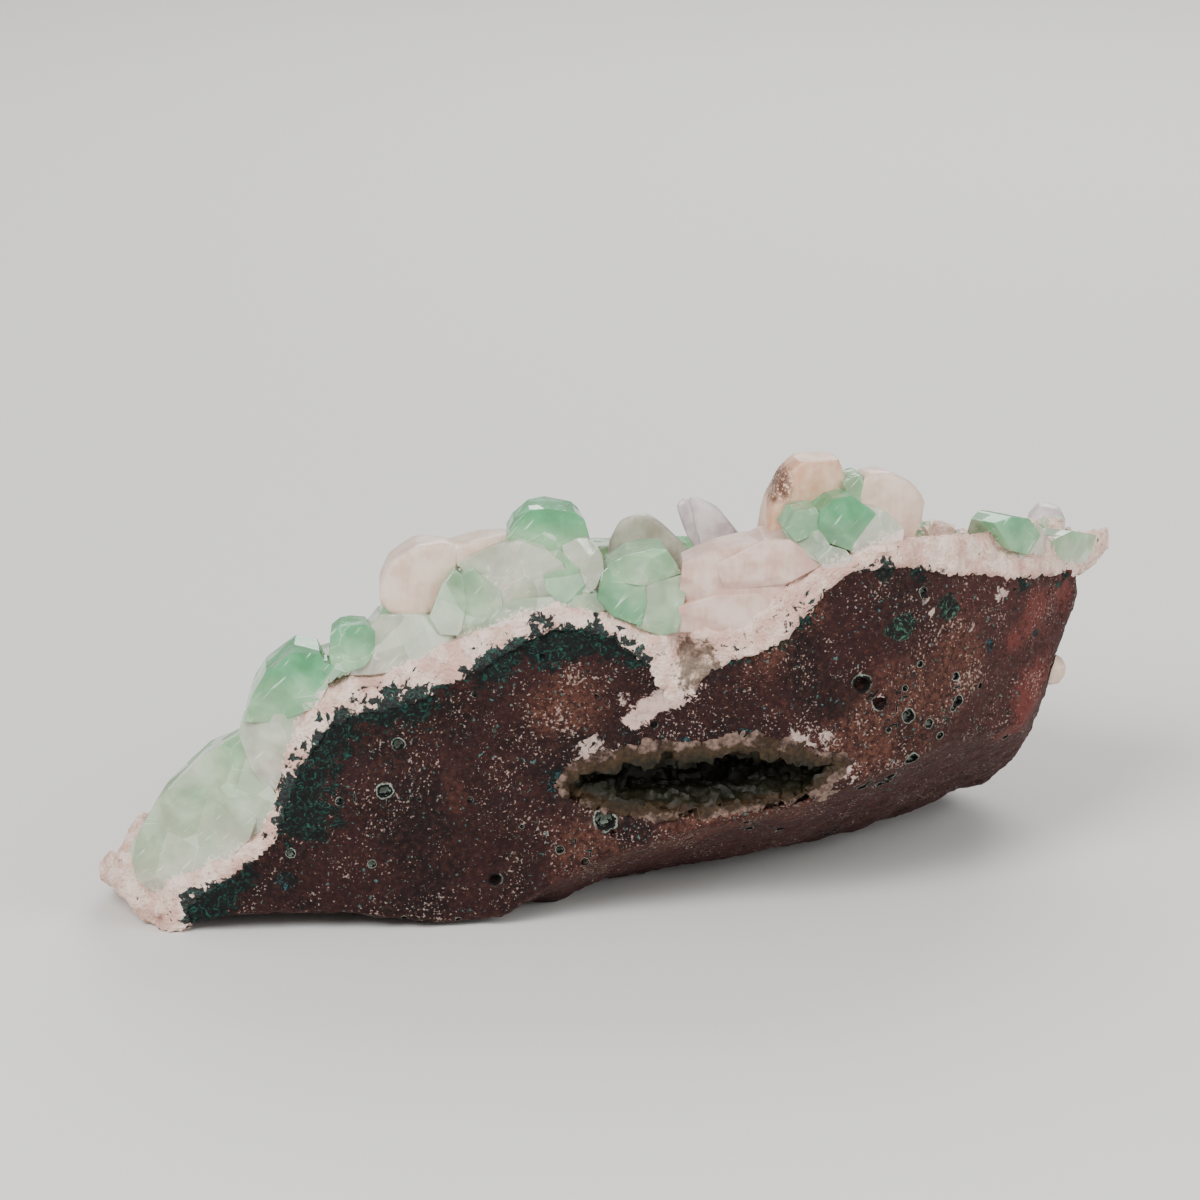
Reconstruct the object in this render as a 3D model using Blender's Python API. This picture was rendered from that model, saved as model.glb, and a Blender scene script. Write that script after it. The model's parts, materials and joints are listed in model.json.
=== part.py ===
"""Apophyllite cluster: green apophyllite and cream stilbite on a pale crust over vesicular basalt.

The tables are in millimetres, and a mesh becomes metres when it is made. +X runs along the
broken face towards its high end, -Y is the side of the broken face, and +Z is up.
"""

import itertools
import math
import random
from collections import namedtuple

import bmesh
import bpy
import numpy as np
from mathutils import Euler, Matrix, Vector, noise

MM = 0.001

# Driving dimensions of the whole piece, mm
LEFT_TIP_X = -80.5  # low end of the crust
RIGHT_TIP_X = 84.5  # high end of the crust
BASALT_LEFT_X = -65.5
BASALT_RIGHT_X = 78.4
STATION_STEP = 4.5  # spacing of the cross-sections along X
STEEP_X = (-52.0, -50.4, -48.2, 10.5, 15.5, 30.8, 73.0, 74.6)  # more of them, where it is steep
LEFT_TIP_ROWS = (-79.4, -77.5, -75.2, -73.0, -70.6, -68.0)
RIGHT_TIP_ROWS = (80.4, 82.4)
FACE_STEPS, TOP_STEPS, UNDER_STEPS = 5, 8, 8  # how finely a cross-section is drawn
GAP = 0.3  # clearance between two pieces that touch
CRUST_DEPTH = 3.4  # crust thickness away from the broken face
CRUST_BULGE = 0.8  # its back edge stands out by this
RIM_FADE = 14.0  # how far back the crust's rim at the face fades into the plain crust

# Outlines along X, (x, value) in mm
FACE_Y = [(-80.5, -41), (-75, -48), (-60, -50), (-40, -49), (-20, -47), (0, -45.5), (30, -43),
          (46, -39), (58, -31), (70, -19), (80, -5), (84.5, 1)]
BACK_Y = [(-80.5, -34), (-78, -22), (-73, -6), (-66, 10), (-55, 25), (-35, 40), (-10, 47), (20, 48),
          (45, 42), (60, 30), (70, 24), (79, 12), (84.5, 7)]
FOOT_Z = [(-66, 1.5), (-58, 3.5), (-44, 3.5), (-32, 2.2), (-23, 0.7), (-16, 1.8), (-6, 8),
          (4, 13), (16, 16), (32, 19.5), (48, 24.5), (58, 27), (68, 26), (72, 27), (74, 34),
          (78.5, 43.5)]
CONTACT_Z = [(-66, 4), (-61, 8.5), (-56, 12), (-51.5, 15.5), (-49.5, 23), (-46, 32),
             (-40, 36.5), (-31.5, 38), (-19, 43.5), (-9, 50.5), (-1.5, 49.5), (7, 45.5),
             (22, 45), (28.5, 47), (32.5, 52), (38, 57), (45, 58.3), (56, 55), (64, 51.7),
             (71.5, 51), (79.5, 47.5)]
CRUST_TOP_Z = [(-80.5, 8.8), (-79, 10.2), (-76, 12), (-70, 11.5), (-63.5, 14), (-58.5, 18.5),
               (-54.5, 24.5), (-52, 31.5), (-48.5, 37), (-44, 40.5), (-34.5, 44.5),
               (-22, 47.5), (-12.5, 53), (-6, 54.3), (1, 52), (9, 49.5), (19, 51), (27, 54.5),
               (36, 60), (44, 61.5), (54, 61), (66, 58), (74, 54.5), (84.5, 51.8)]
LEFT_TIP_Z = [(-80.5, 6.6), (-78, 5.4), (-75.5, 4), (-73, 0.9), (-71, 0.4), (-66, 0.8)]
RIGHT_TIP_Z = [(78.5, 47.0), (82, 48.6), (84.5, 50.2)]
FACET_LENGTH = [(-16, 0), (-5, 16), (15, 22), (30, 25), (50, 34), (65, 32), (72, 16), (75, 0)]
FALL_RATE = [(-66, 0.065), (30, 0.065), (60, 0.095)]  # how fast the top falls to the back
FALL_POWER = 1.25  # the fall grows faster than the depth
FULL_FALL_Z = 38.0  # where the contact is lower than this, the top falls less

# The underside and the back
FACET_SLOPE = 0.62  # the broken facet under the front foot
UNDER_SLOPE = 0.24  # from the facet back to the flat base
BACK_LIFT, BACK_LIFT_REACH = 5.0, 8.0  # the underside curls up at the back edge
BACK_BULGE = 0.16  # the back stands out by this share of its height
BACK_ROUNDING, BACK_ROUNDING_REACH = 0.16, 11.0  # the top curls down at the back edge
TIP_LIFT = 2.2  # the same under the low tip
TIP_SLOPE = 0.3  # fall of the underside of the high tip
FACE_MARGIN = 6.0  # least depth of a cross-section
BASALT_LEAST, BASALT_LEAST_RATE = 3.0, 0.06  # least thickness of the basalt, and its growth
CRUST_LEAST = 2.2  # least thickness of the crust
CONTACT_SLANT = 0.10  # the outline slants to the left as it goes back
SLANT_START = 8.0

# Unevenness of the surfaces, mm: a slice of the noise, its spacing and its height
Layer = namedtuple("Layer", "slice spacing height")
FACE_COARSE, FACE_FINE = Layer(0, 13.0, 1.3), Layer(40, 5.0, 0.6)
BACK_LAYER = Layer(7, 16.0, 2.4)
UNDER_LAYER = Layer(3, 9.0, 0.8)
CONTACT_COARSE, CONTACT_FINE = Layer(11, 22.0, 4.0), Layer(23, 8.0, 1.0)
CRUST_FINE, CRUST_COARSE = Layer(31, 6.0, 1.5), Layer(37, 13.0, 1.6)
COARSE_REACH, UNDER_REACH = 24.0, 10.0  # depth behind the face where the layer is full

# The white vein that wedges down into the basalt
NOTCH_X = 13.0
NOTCH_HALF_WIDTH = 7.5
NOTCH_DEPTH = 10.5

# The open vug in the broken face
VUG_X, VUG_Z = 16.0, 24.0
VUG_HALF = (24.0, 11.0, 6.2)
VUG_TURN = 6.8  # degrees about Z, along the broken face
VUG_TILT = -1.5  # degrees about Y
VUG_WALL = 1.7  # thickness of its crystal lining

# Vesicles large enough to be seen as holes, (x, z, radius) on the broken face
FACE_VESICLES = [(-33.5, 22.0, 1.0), (-31.5, 29.8, 0.8), (-16.5, 7.2, 1.1), (41.0, 39.0, 1.4),
                 (44.5, 36.0, 1.1), (47.6, 33.8, 1.0), (45.2, 23.6, 0.9), (48.5, 28.2, 1.1),
                 (-55.0, 9.5, 0.9), (-8.0, 33.5, 0.9), (2.2, 15.2, 1.6), (60.0, 40.0, 1.0)]
# Vesicles on the back, (x, z, radius)
BACK_VESICLES = [(-20.0, 12.0, 1.8), (6.0, 18.0, 2.2), (14.0, 9.0, 1.4), (38.0, 16.0, 1.7)]

Crystal = namedtuple("Crystal", "form at half turn cut")


def crystal(form, at, half, roll=0.0, lean=0.0, spin=0.0, cut=0.0):
    """One crystal: roll leans it along X, lean leans it along Y, spin turns it about its length."""
    return Crystal(form, at, half, (lean, roll, spin), cut)


# The crystals along the broken face, (x, y, z) of the middle and half sizes in mm
FRONT_GROUPS = {
    "apophyllite_left_mass": [
        crystal("prism", (-60.8, -41.0, 16.8), (7.5, 10.0, 12.5), roll=45, cut=3.5),
        crystal("prism", (-70.5, -40.0, 9.8), (3.2, 6.5, 4.8), roll=-28, cut=1.8),
        crystal("prism", (-57.0, -33.0, 20.2), (5.5, 6.0, 7.6), roll=30, lean=-6, cut=2.6),
    ],
    "apophyllite_mint_block": [
        crystal("prism", (-50.2, -43.0, 33.2), (6.4, 8.0, 9.6), roll=35, spin=6, cut=3.4),
        crystal("prism", (-41.3, -43.0, 42.0), (2.6, 3.2, 3.2), roll=-22, cut=0.9),
        crystal("prism", (-34.8, -42.5, 44.2), (7.4, 6.5, 4.8), roll=-18, cut=1.6),
        crystal("prism", (-28.6, -44.0, 46.0), (4.2, 5.0, 5.4), roll=-38, spin=12, cut=1.2),
    ],
    "stilbite_left_blade": [
        crystal("blade", (-28.6, -36.5, 52.6), (6.9, 4.2, 9.6), roll=9, spin=-8),
        crystal("blade", (-20.5, -33.0, 54.0), (5.6, 3.2, 8.2), roll=-6, lean=-12, spin=16),
    ],
    "apophyllite_centre": [
        crystal("prism", (-25.4, -45.0, 52.4), (2.2, 3.4, 6.6), roll=18, spin=15, cut=1.4),
        crystal("prism", (-20.6, -44.4, 51.0), (4.0, 4.5, 6.6), roll=-6, spin=-8, cut=1.8),
        crystal("nugget", (-12.6, -42.5, 57.2), (10.4, 6.6, 6.6), roll=-7),
        crystal("prism", (-8.6, -38.0, 59.6), (5.1, 5.4, 6.8), roll=3, cut=2.4),
        crystal("nugget", (-2.4, -42.0, 57.0), (4.4, 5.4, 6.8), roll=8),
    ],
    "apophyllite_faceted": [
        crystal("prism", (8.2, -42.6, 52.6), (5.6, 5.2, 6.2), roll=-16, spin=24, cut=2.2),
        crystal("prism", (2.9, -42.6, 54.6), (3.4, 4.2, 5.2), roll=12, spin=-12, cut=1.6),
        crystal("prism", (8.6, -41.0, 58.6), (3.2, 3.4, 4.2), roll=38, spin=10, cut=1.6),
    ],
    "stilbite_grey_knob": [
        crystal("nugget", (8.2, -27.0, 54.6), (6.6, 5.2, 9.2), roll=-10),
    ],
    "stilbite_slanting_blade": [
        crystal("blade", (19.2, -28.5, 58.8), (4.0, 2.2, 9.0), roll=-33, spin=48),
    ],
    "stilbite_broad_mass": [
        crystal("slab", (22.4, -41.2, 51.6), (9.4, 5.4, 3.8), roll=-5),
        crystal("slab", (25.4, -39.4, 57.4), (12.4, 6.4, 5.2), roll=-13),
    ],
    "stilbite_tall_blade": [
        crystal("blade", (34.2, -28.4, 64.4), (6.4, 3.4, 9.6), roll=9, spin=14),
        crystal("blade", (30.6, -27.5, 58.8), (3.0, 2.8, 5.2), roll=-12, spin=-22),
    ],
    "apophyllite_right_mass": [
        crystal("prism", (31.6, -39.4, 61.0), (4.8, 4.6, 3.4), roll=-6, cut=1.2),
        crystal("prism", (40.4, -38.8, 63.4), (5.5, 5.0, 6.4), roll=10, spin=18, cut=2.8),
        crystal("prism", (37.4, -40.6, 58.8), (2.7, 3.0, 4.4), roll=-12, cut=1.0),
        crystal("prism", (45.6, -37.6, 61.8), (3.8, 3.8, 4.6), roll=24, spin=-20, cut=1.6),
    ],
    "stilbite_right_blade": [
        crystal("blade", (45.2, -29.6, 61.6), (5.7, 3.6, 8.8), roll=13, spin=-12),
    ],
    "apophyllite_right_edge": [
        crystal("prism", (67.2, -17.4, 54.8), (3.5, 4.0, 4.4), roll=-24, spin=12, cut=1.6),
        crystal("prism", (75.4, -8.2, 52.6), (8.6, 4.0, 3.2), roll=11, spin=42, cut=1.0),
    ],
}

# The crystals behind, (x, y) on the crust, half sizes, and how much of the height is sunk in it
HiddenCrystal = namedtuple("HiddenCrystal", "form x y half turn cut sunk")


def hidden(form, x, y, half, roll=0.0, lean=0.0, spin=0.0, cut=0.0, sunk=0.45):
    return HiddenCrystal(form, x, y, half, (lean, roll, spin), cut, sunk)


BACK_GROUPS = {
    "apophyllite_mid_left": [
        hidden("prism", -46, -24, (6.6, 6.6, 7.2), roll=-24, spin=20, cut=2.2, sunk=0.75),
        hidden("prism", -36, -20, (5.6, 5.6, 6.4), roll=6, spin=38, cut=1.8, sunk=0.66),
        hidden("prism", -54, -16, (5.4, 5.4, 6.5), roll=-34, lean=10, spin=8, cut=1.8, sunk=0.7),
    ],
    "stilbite_mid_fan": [
        hidden("blade", -24, -16, (6.8, 3.4, 9.8), roll=-14, lean=12, spin=28),
        hidden("blade", -18, -11, (6.1, 3.2, 9.0), roll=16, lean=-8, spin=-24),
        hidden("blade", -28, -8, (5.4, 2.9, 8.1), roll=-32, lean=4, spin=64),
    ],
    "apophyllite_mid_centre": [
        hidden("prism", -4, -14, (7.3, 7.3, 7.6), roll=8, lean=-10, spin=32, cut=2.4),
        hidden("prism", 4, -7, (5.9, 5.9, 6.3), roll=-18, lean=12, spin=14, cut=1.8),
        hidden("prism", -9, -4, (4.4, 4.4, 5.6), roll=-10, lean=16, spin=54, cut=1.4),
    ],
    "apophyllite_mid_right": [
        hidden("prism", 24, -10, (7.1, 6.6, 7.1), roll=-8, lean=14, spin=26, cut=2.0),
        hidden("prism", 32, -4, (5.6, 5.6, 6.1), roll=18, lean=6, spin=48, cut=1.6),
    ],
    "stilbite_right_fan": [
        hidden("blade", 43, -12, (5.6, 2.9, 6.8), roll=22, lean=8, spin=36),
        hidden("blade", 48, -6, (4.9, 2.7, 6.1), roll=-12, lean=16, spin=-30),
    ],
    "apophyllite_back_left": [
        hidden("prism", -42, 6, (7.2, 7.2, 7.8), roll=-16, lean=-12, spin=12, cut=2.6, sunk=0.72),
        hidden("prism", -33, 14, (6.3, 6.3, 7.6), roll=14, lean=-20, spin=40, cut=2.0, sunk=0.68),
        hidden("prism", -52, 2, (5.2, 5.2, 6.1), roll=-30, lean=-6, spin=30, cut=1.6, sunk=0.6),
    ],
    "stilbite_back_fan": [
        hidden("blade", -17, 12, (7.1, 3.4, 9.3), roll=-10, lean=-14, spin=18),
        hidden("blade", -11, 17, (6.3, 3.2, 8.5), roll=18, lean=-22, spin=-26),
        hidden("blade", -22, 20, (5.6, 3.2, 8.1), roll=-26, lean=-18, spin=52),
    ],
    "apophyllite_back_centre": [
        hidden("prism", 4, 14, (7.4, 7.4, 7.0), roll=6, lean=-12, spin=22, cut=2.8, sunk=0.7),
        hidden("prism", 13, 20, (6.6, 6.6, 7.3), roll=18, lean=-18, spin=48, cut=2.0, sunk=0.55),
        hidden("prism", 0, 26, (5.0, 5.0, 5.4), roll=-10, lean=-14, spin=8, cut=1.5, sunk=0.75),
    ],
    "apophyllite_back_right": [
        hidden("prism", 39, 14, (6.8, 6.8, 7.1), roll=10, lean=-12, spin=34, cut=2.2, sunk=0.68),
        hidden("prism", 47, 10, (4.8, 4.8, 5.2), roll=14, lean=-10, spin=12, cut=1.5, sunk=0.64),
        hidden("prism", 32, 23, (5.2, 5.2, 5.8), roll=-10, lean=-14, spin=56, cut=1.6, sunk=0.7),
    ],
    "stilbite_back_edge": [
        hidden("blade", -6, 38, (6.6, 3.4, 8.5), roll=-12, lean=-30, spin=16),
        hidden("blade", 2, 40, (5.2, 2.9, 7.2), roll=14, lean=-30, spin=-22, sunk=0.75),
    ],
    "stilbite_back_right": [
        hidden("blade", 20, 34, (6.3, 3.2, 8.1), roll=8, lean=-26, spin=24),
        hidden("blade", 27, 37, (5.4, 2.9, 7.3), roll=24, lean=-30, spin=-16),
    ],
    "apophyllite_left_back": [
        hidden("prism", -62, -14, (5.9, 6.6, 7.6), roll=-38, lean=-6, spin=18, cut=1.8),
        hidden("prism", -60, -2, (5.1, 5.1, 6.1), roll=-36, lean=-14, spin=44, cut=1.4, sunk=0.6),
    ],
    "stilbite_end_knob": [
        hidden("nugget", 74.4, 9.5, (3.3, 3.6, 4.6), roll=6, sunk=0.38),
    ],
}

SIDE_KNOB_AT = (73.4, -9.0, 32.2)
SIDE_KNOB_HALF = (3.4, 3.0, 2.6)

# The small crystals fused to the crust where no large one stands
DRUSE_COUNT = 14
DRUSE_SIZE = (1.2, 2.2)
DRUSE_TILT = 25.0
DRUSE_PROBE = 2.0  # the slope is read this far to each side
DRUSE_STEEP = 2.6  # most rise of the crust between the two sides
DRUSE_CLEAR = 6.5  # least distance between one of them and a large crystal's middle
DRUSE_APART = 5.0  # least distance between two of them, and to the rim

BLADE_SIDES = 10

# The space in front of the broken face that the crystals are trimmed with
TRIM_MARGIN = 6.0
TRIM_PROUD = 0.1  # the crystals stand this far out of the face
TRIM_Z = (-12.0, 88.0)
TRIM_STEPS = 14
TRIM_Y = -90.0
CUTTER_FRONT, CUTTER_DROP = 4.0, 45.0  # how far the crust's cutter reaches forward and down

# How deep the vesicles sit in the surface, as shares of the radius, and the vug's knobbles
FACE_SEAT, BACK_SEAT = 0.25, 0.2
VUG_UNEVEN, VUG_KNOBBLE = 0.10, 0.07

# Colours as linear RGB, roughness
MATERIALS = {
    "basalt": ((0.060, 0.026, 0.024), 0.88),
    "crust": ((0.80, 0.62, 0.57), 0.75),
    "vug": ((0.13, 0.09, 0.05), 0.60),
    "apophyllite": ((0.38, 0.68, 0.46), 0.15),
    "stilbite": ((0.74, 0.60, 0.52), 0.35),
}


def along(points, x):
    """The value of an outline at x."""
    return float(np.interp(x, [p[0] for p in points], [p[1] for p in points]))


def fade(value):
    """0 at or under 0, 1 at or over 1, smooth between."""
    s = min(max(value, 0.0), 1.0)
    return s * s * (3.0 - 2.0 * s)


def rough(layer, x, y, z):
    return layer.height * noise.noise(Vector((x, y, z)) / layer.spacing)


def flat_rough(layer, x, y):
    """Unevenness of a surface that lies level."""
    return rough(layer, x, y, layer.slice)


def face_y(x, z):
    """The broken face."""
    bumps = sum(rough(layer, x, layer.slice, z) for layer in (FACE_COARSE, FACE_FINE))
    return along(FACE_Y, x) + bumps


def back_y(x):
    bumps = rough(BACK_LAYER, x, BACK_LAYER.slice, 0.0)
    return max(along(BACK_Y, x) + bumps, along(FACE_Y, x) + FACE_MARGIN)


def near_back(x, y, reach):
    """0 in front of the back edge by more than reach, 1 at the edge."""
    return fade((y - back_y(x) + reach) / reach)


def under_z(x, y):
    """The underside: a facet that falls back from the foot, then a gentler fall to the flat base."""
    deep = y - along(FACE_Y, x)
    facet = along(FACET_LENGTH, x)
    z = along(FOOT_Z, x) - FACET_SLOPE * min(deep, facet) - UNDER_SLOPE * max(deep - facet, 0.0)
    z += flat_rough(UNDER_LAYER, x, y) * fade(deep / UNDER_REACH)
    return max(z, 0.0) + BACK_LIFT * near_back(x, y, BACK_LIFT_REACH) ** 2


def fall(x, deep):
    """How far the top has fallen at a depth behind the broken face, less where it is low."""
    share = min(along(CONTACT_Z, x) / FULL_FALL_Z, 1.0)
    return along(FALL_RATE, x) * deep**FALL_POWER * share


def notch(x, deep):
    """How far the vein wedges down into the basalt."""
    across = 1.0 - abs(x - NOTCH_X) / NOTCH_HALF_WIDTH
    return NOTCH_DEPTH * max(across, 0.0) * (1.0 - fade(deep / RIM_FADE))


def contact_z(x, y):
    """The surface where the basalt ends and the crust begins."""
    deep = max(y - along(FACE_Y, x), 0.0)
    slid = x - CONTACT_SLANT * max(deep - SLANT_START, 0.0)
    z = along(CONTACT_Z, slid) - fall(x, deep)
    z += flat_rough(CONTACT_COARSE, x, y) * fade(deep / COARSE_REACH)
    z += flat_rough(CONTACT_FINE, x, y)
    z -= BACK_ROUNDING * z * near_back(x, y, BACK_ROUNDING_REACH) ** 2
    least = under_z(x, y) + BASALT_LEAST + BASALT_LEAST_RATE * deep
    return max(z, least) - notch(x, deep)


def crust_z(x, y):
    """The top of the crust."""
    deep = max(y - along(FACE_Y, x), 0.0)
    rim = along(CRUST_TOP_Z, x)
    if BASALT_LEFT_X - 1.0 <= x <= BASALT_RIGHT_X:
        low = contact_z(x, y)
    else:
        low = crust_low_z(x, y)
    bumps = flat_rough(CRUST_FINE, x, y) + flat_rough(CRUST_COARSE, x, y)
    plain = low + CRUST_DEPTH + notch(x, deep) + bumps
    front = rim - fall(x, deep)
    mix = fade(deep / RIM_FADE)
    return max(front * (1.0 - mix) + plain * mix, low + CRUST_LEAST)


def crust_low_z(x, y):
    """The underside of the crust: on the basalt, or free at its two tips."""
    if x < BASALT_LEFT_X - GAP / 2:
        lift = TIP_LIFT * fade((x - LEFT_TIP_X) / BACK_LIFT_REACH)
        return along(LEFT_TIP_Z, x) + lift * near_back(x, y, BACK_LIFT_REACH)
    if x > BASALT_RIGHT_X:
        return along(RIGHT_TIP_Z, x) - TIP_SLOPE * max(y - along(FACE_Y, x), 0.0)
    return contact_z(x, y) + GAP


def rows(first, last, extra=()):
    """Places of the cross-sections along X."""
    count = round((last - first) / STATION_STEP)
    even = [first + (last - first) * k / count for k in range(count + 1)]
    return sorted(set(even) | {x for x in extra if first < x < last})


def face_out(mesh):
    """Turns the faces of a closed mesh outward."""
    bmesh.ops.recalc_face_normals(mesh, faces=mesh.faces)
    if mesh.calc_volume(signed=True) < 0:
        bmesh.ops.reverse_faces(mesh, faces=mesh.faces)
    return mesh


def loft(rings):
    """A closed mesh through rings of (x, y, z) in mm with equal counts, capped at both ends."""
    mesh = bmesh.new()
    loops = [[mesh.verts.new(Vector(p) * MM) for p in ring] for ring in rings]
    count = len(loops[0])
    for one, two in zip(loops, loops[1:]):
        for k in range(count):
            a, b, c, d = one[k], one[(k + 1) % count], two[(k + 1) % count], two[k]
            mesh.faces.new((a, b, c))
            mesh.faces.new((a, c, d))
    for loop in (loops[0], loops[-1]):
        middle = sum((v.co for v in loop), Vector()) / count
        tip = mesh.verts.new(middle)
        for k in range(count):
            mesh.faces.new((loop[k], loop[(k + 1) % count], tip))
    return face_out(mesh)


def stretch(low, high, count):
    return [low + (high - low) * k / count for k in range(count + 1)]


def contact_ys(x):
    """Where a cross-section's points lie on the surface between basalt and crust."""
    front = face_y(x, contact_z(x, along(FACE_Y, x)))
    return stretch(front, back_y(x), TOP_STEPS)


def basalt_ring(x):
    """Up the broken face, back over the top, down the back and forward along the underside."""
    ys = contact_ys(x)
    back = ys[-1]
    foot = under_z(x, along(FACE_Y, x))
    ring = [(x, face_y(x, z), z) for z in stretch(foot, contact_z(x, ys[0]), FACE_STEPS)[:-1]]
    ring += [(x, y, contact_z(x, y)) for y in ys]
    high, low = contact_z(x, back), under_z(x, back)
    middle = (high + low) / 2
    ring.append((x, back + BACK_BULGE * (high - low), middle))
    ring += [(x, y, under_z(x, y)) for y in stretch(face_y(x, foot), back, UNDER_STEPS)[:0:-1]]
    return ring


def crust_ring(x, rise=0.0, front_out=0.0, drop=0.0):
    """Back along the underside, up the back edge, and forward over the top.

    rise lifts the top, front_out moves the broken face outward, and drop lowers the underside,
    for the cutter that trims the crystals.
    """
    ys = contact_ys(x)
    front, back = ys[0], ys[-1]
    ring = [(x, y, crust_low_z(x, y) - drop) for y in ys]
    middle = (crust_low_z(x, back) + crust_z(x, back)) / 2 + rise - drop / 2
    ring.append((x, back + CRUST_BULGE + rise, middle))
    ring += [(x, y, crust_z(x, y) + rise) for y in ys[::-1]]
    if front_out:
        ring.insert(0, (x, front - front_out, ring[0][2]))
        ring.append((x, front - front_out, ring[-1][2]))
    return ring


def hull(points):
    """The convex solid around points in mm."""
    mesh = bmesh.new()
    verts = [mesh.verts.new(Vector(p) * MM) for p in points]
    bmesh.ops.convex_hull(mesh, input=verts)
    inside = [v for v in mesh.verts if not v.link_faces]
    bmesh.ops.delete(mesh, geom=inside, context="VERTS")
    return face_out(mesh)


def prism(half, cut):
    """A square apophyllite prism whose four top corners are cut by pyramid faces."""
    hx, hy, hz = half
    points = [(sx * hx, sy * hy, -hz) for sx in (-1, 1) for sy in (-1, 1)]
    uneven = (0.7, 1.25, 1.0, 0.55)
    corners = [(-1, -1), (1, -1), (1, 1), (-1, 1)]
    for (sx, sy), share in zip(corners, uneven):
        c = cut * share
        points += [
            (sx * (hx - c), sy * hy, hz),
            (sx * hx, sy * (hy - c), hz),
            (sx * hx, sy * hy, hz - 1.3 * c),
        ]
    return points


def blade(half):
    """A stilbite blade: a flat tablet with a rounded, slightly pointed end and thin edges."""
    hx, hy, hz = half
    points = []
    for share, side in ((0.78, -1.0), (1.0, 0.0), (0.78, 1.0)):
        for k in range(BLADE_SIDES):
            angle = math.tau * k / BLADE_SIDES
            across, up = math.sin(angle), math.cos(angle)
            width = abs(across) ** 0.7 * math.copysign(1, across)
            height = abs(up) ** 0.8 * math.copysign(1, up)
            points.append((share * hx * width, side * hy, share * hz * height))
    return points


def rounded(half, power):
    """A worn crystal: between an ellipsoid at power 2 and a box at a high power."""
    mesh = bmesh.new()
    bmesh.ops.create_icosphere(mesh, subdivisions=2, radius=1.0)
    points = []
    for vert in mesh.verts:
        size = sum(abs(c) ** power for c in vert.co) ** (1 / power)
        points.append(tuple(h * c / size for h, c in zip(half, vert.co)))
    mesh.free()
    return points


def block(half):
    """A plain small crystal."""
    return [
        tuple(s * h for s, h in zip(signs, half))
        for signs in itertools.product((-1, 1), repeat=3)
    ]


FORMS = {
    "prism": lambda half, cut: prism(half, cut),
    "block": lambda half, cut: block(half),
    "blade": lambda half, cut: blade(half),
    "nugget": lambda half, cut: rounded(half, 2.8),
    "slab": lambda half, cut: rounded(half, 4.5),
}


def shape(one, grow=0.0):
    """The mesh of a Crystal, with every side moved out by grow."""
    half = tuple(h + grow for h in one.half)
    turn = Euler([math.radians(a) for a in one.turn]).to_matrix().to_4x4()
    place = Matrix.Translation(Vector(one.at) * MM) @ turn
    mesh = hull(FORMS[one.form](half, one.cut))
    bmesh.ops.transform(mesh, matrix=place, verts=mesh.verts)
    return mesh


def new_object(name, mesh):
    data = bpy.data.meshes.new(name)
    mesh.to_mesh(data)
    mesh.free()
    made = bpy.data.objects.new(name, data)
    bpy.context.scene.collection.objects.link(made)
    return made


def combine(target, other, operation, keep=False):
    """Applies one exact Boolean, and removes the other object unless it is kept."""
    step = target.modifiers.new(operation.lower(), "BOOLEAN")
    step.operation = operation
    step.solver = "EXACT"
    step.object = other
    bpy.context.view_layer.objects.active = target
    bpy.ops.object.modifier_apply(modifier=step.name)
    if not keep:
        bpy.data.objects.remove(other, do_unlink=True)


def keep_largest(target):
    """Drops the splinters that a cut leaves."""
    mesh = bmesh.new()
    mesh.from_mesh(target.data)
    bmesh.ops.remove_doubles(mesh, verts=mesh.verts, dist=0.000002)
    left = set(mesh.verts)
    islands = []
    while left:
        island, edge = set(), [left.pop()]
        while edge:
            vert = edge.pop()
            island.add(vert)
            for link in vert.link_edges:
                other = link.other_vert(vert)
                if other in left:
                    left.discard(other)
                    edge.append(other)
        islands.append(island)
    islands.sort(key=len)
    for island in islands[:-1]:
        bmesh.ops.delete(mesh, geom=list(island), context="VERTS")
    mesh.to_mesh(target.data)
    mesh.free()


def merge_flat_faces(target):
    """Joins the faces that a Boolean split within one plane."""
    mesh = bmesh.new()
    mesh.from_mesh(target.data)
    bmesh.ops.dissolve_limit(
        mesh, angle_limit=math.radians(0.05), verts=mesh.verts, edges=mesh.edges
    )
    bmesh.ops.triangulate(mesh, faces=mesh.faces)
    mesh.to_mesh(target.data)
    mesh.free()


def near(one, two, reach=0.001):
    """True where the boxes of two objects come close."""
    a = [Vector(c) for c in one.bound_box]
    b = [Vector(c) for c in two.bound_box]
    return all(
        min(p[i] for p in a) - reach < max(p[i] for p in b)
        and min(p[i] for p in b) - reach < max(p[i] for p in a)
        for i in range(3)
    )


def on_crust(one):
    """A hidden crystal stood on the crust, partly sunk in it."""
    z = crust_z(one.x, one.y) + one.half[2] * (1.0 - 2.0 * one.sunk)
    return Crystal(one.form, (one.x, one.y, z), one.half, one.turn, one.cut)


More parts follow.
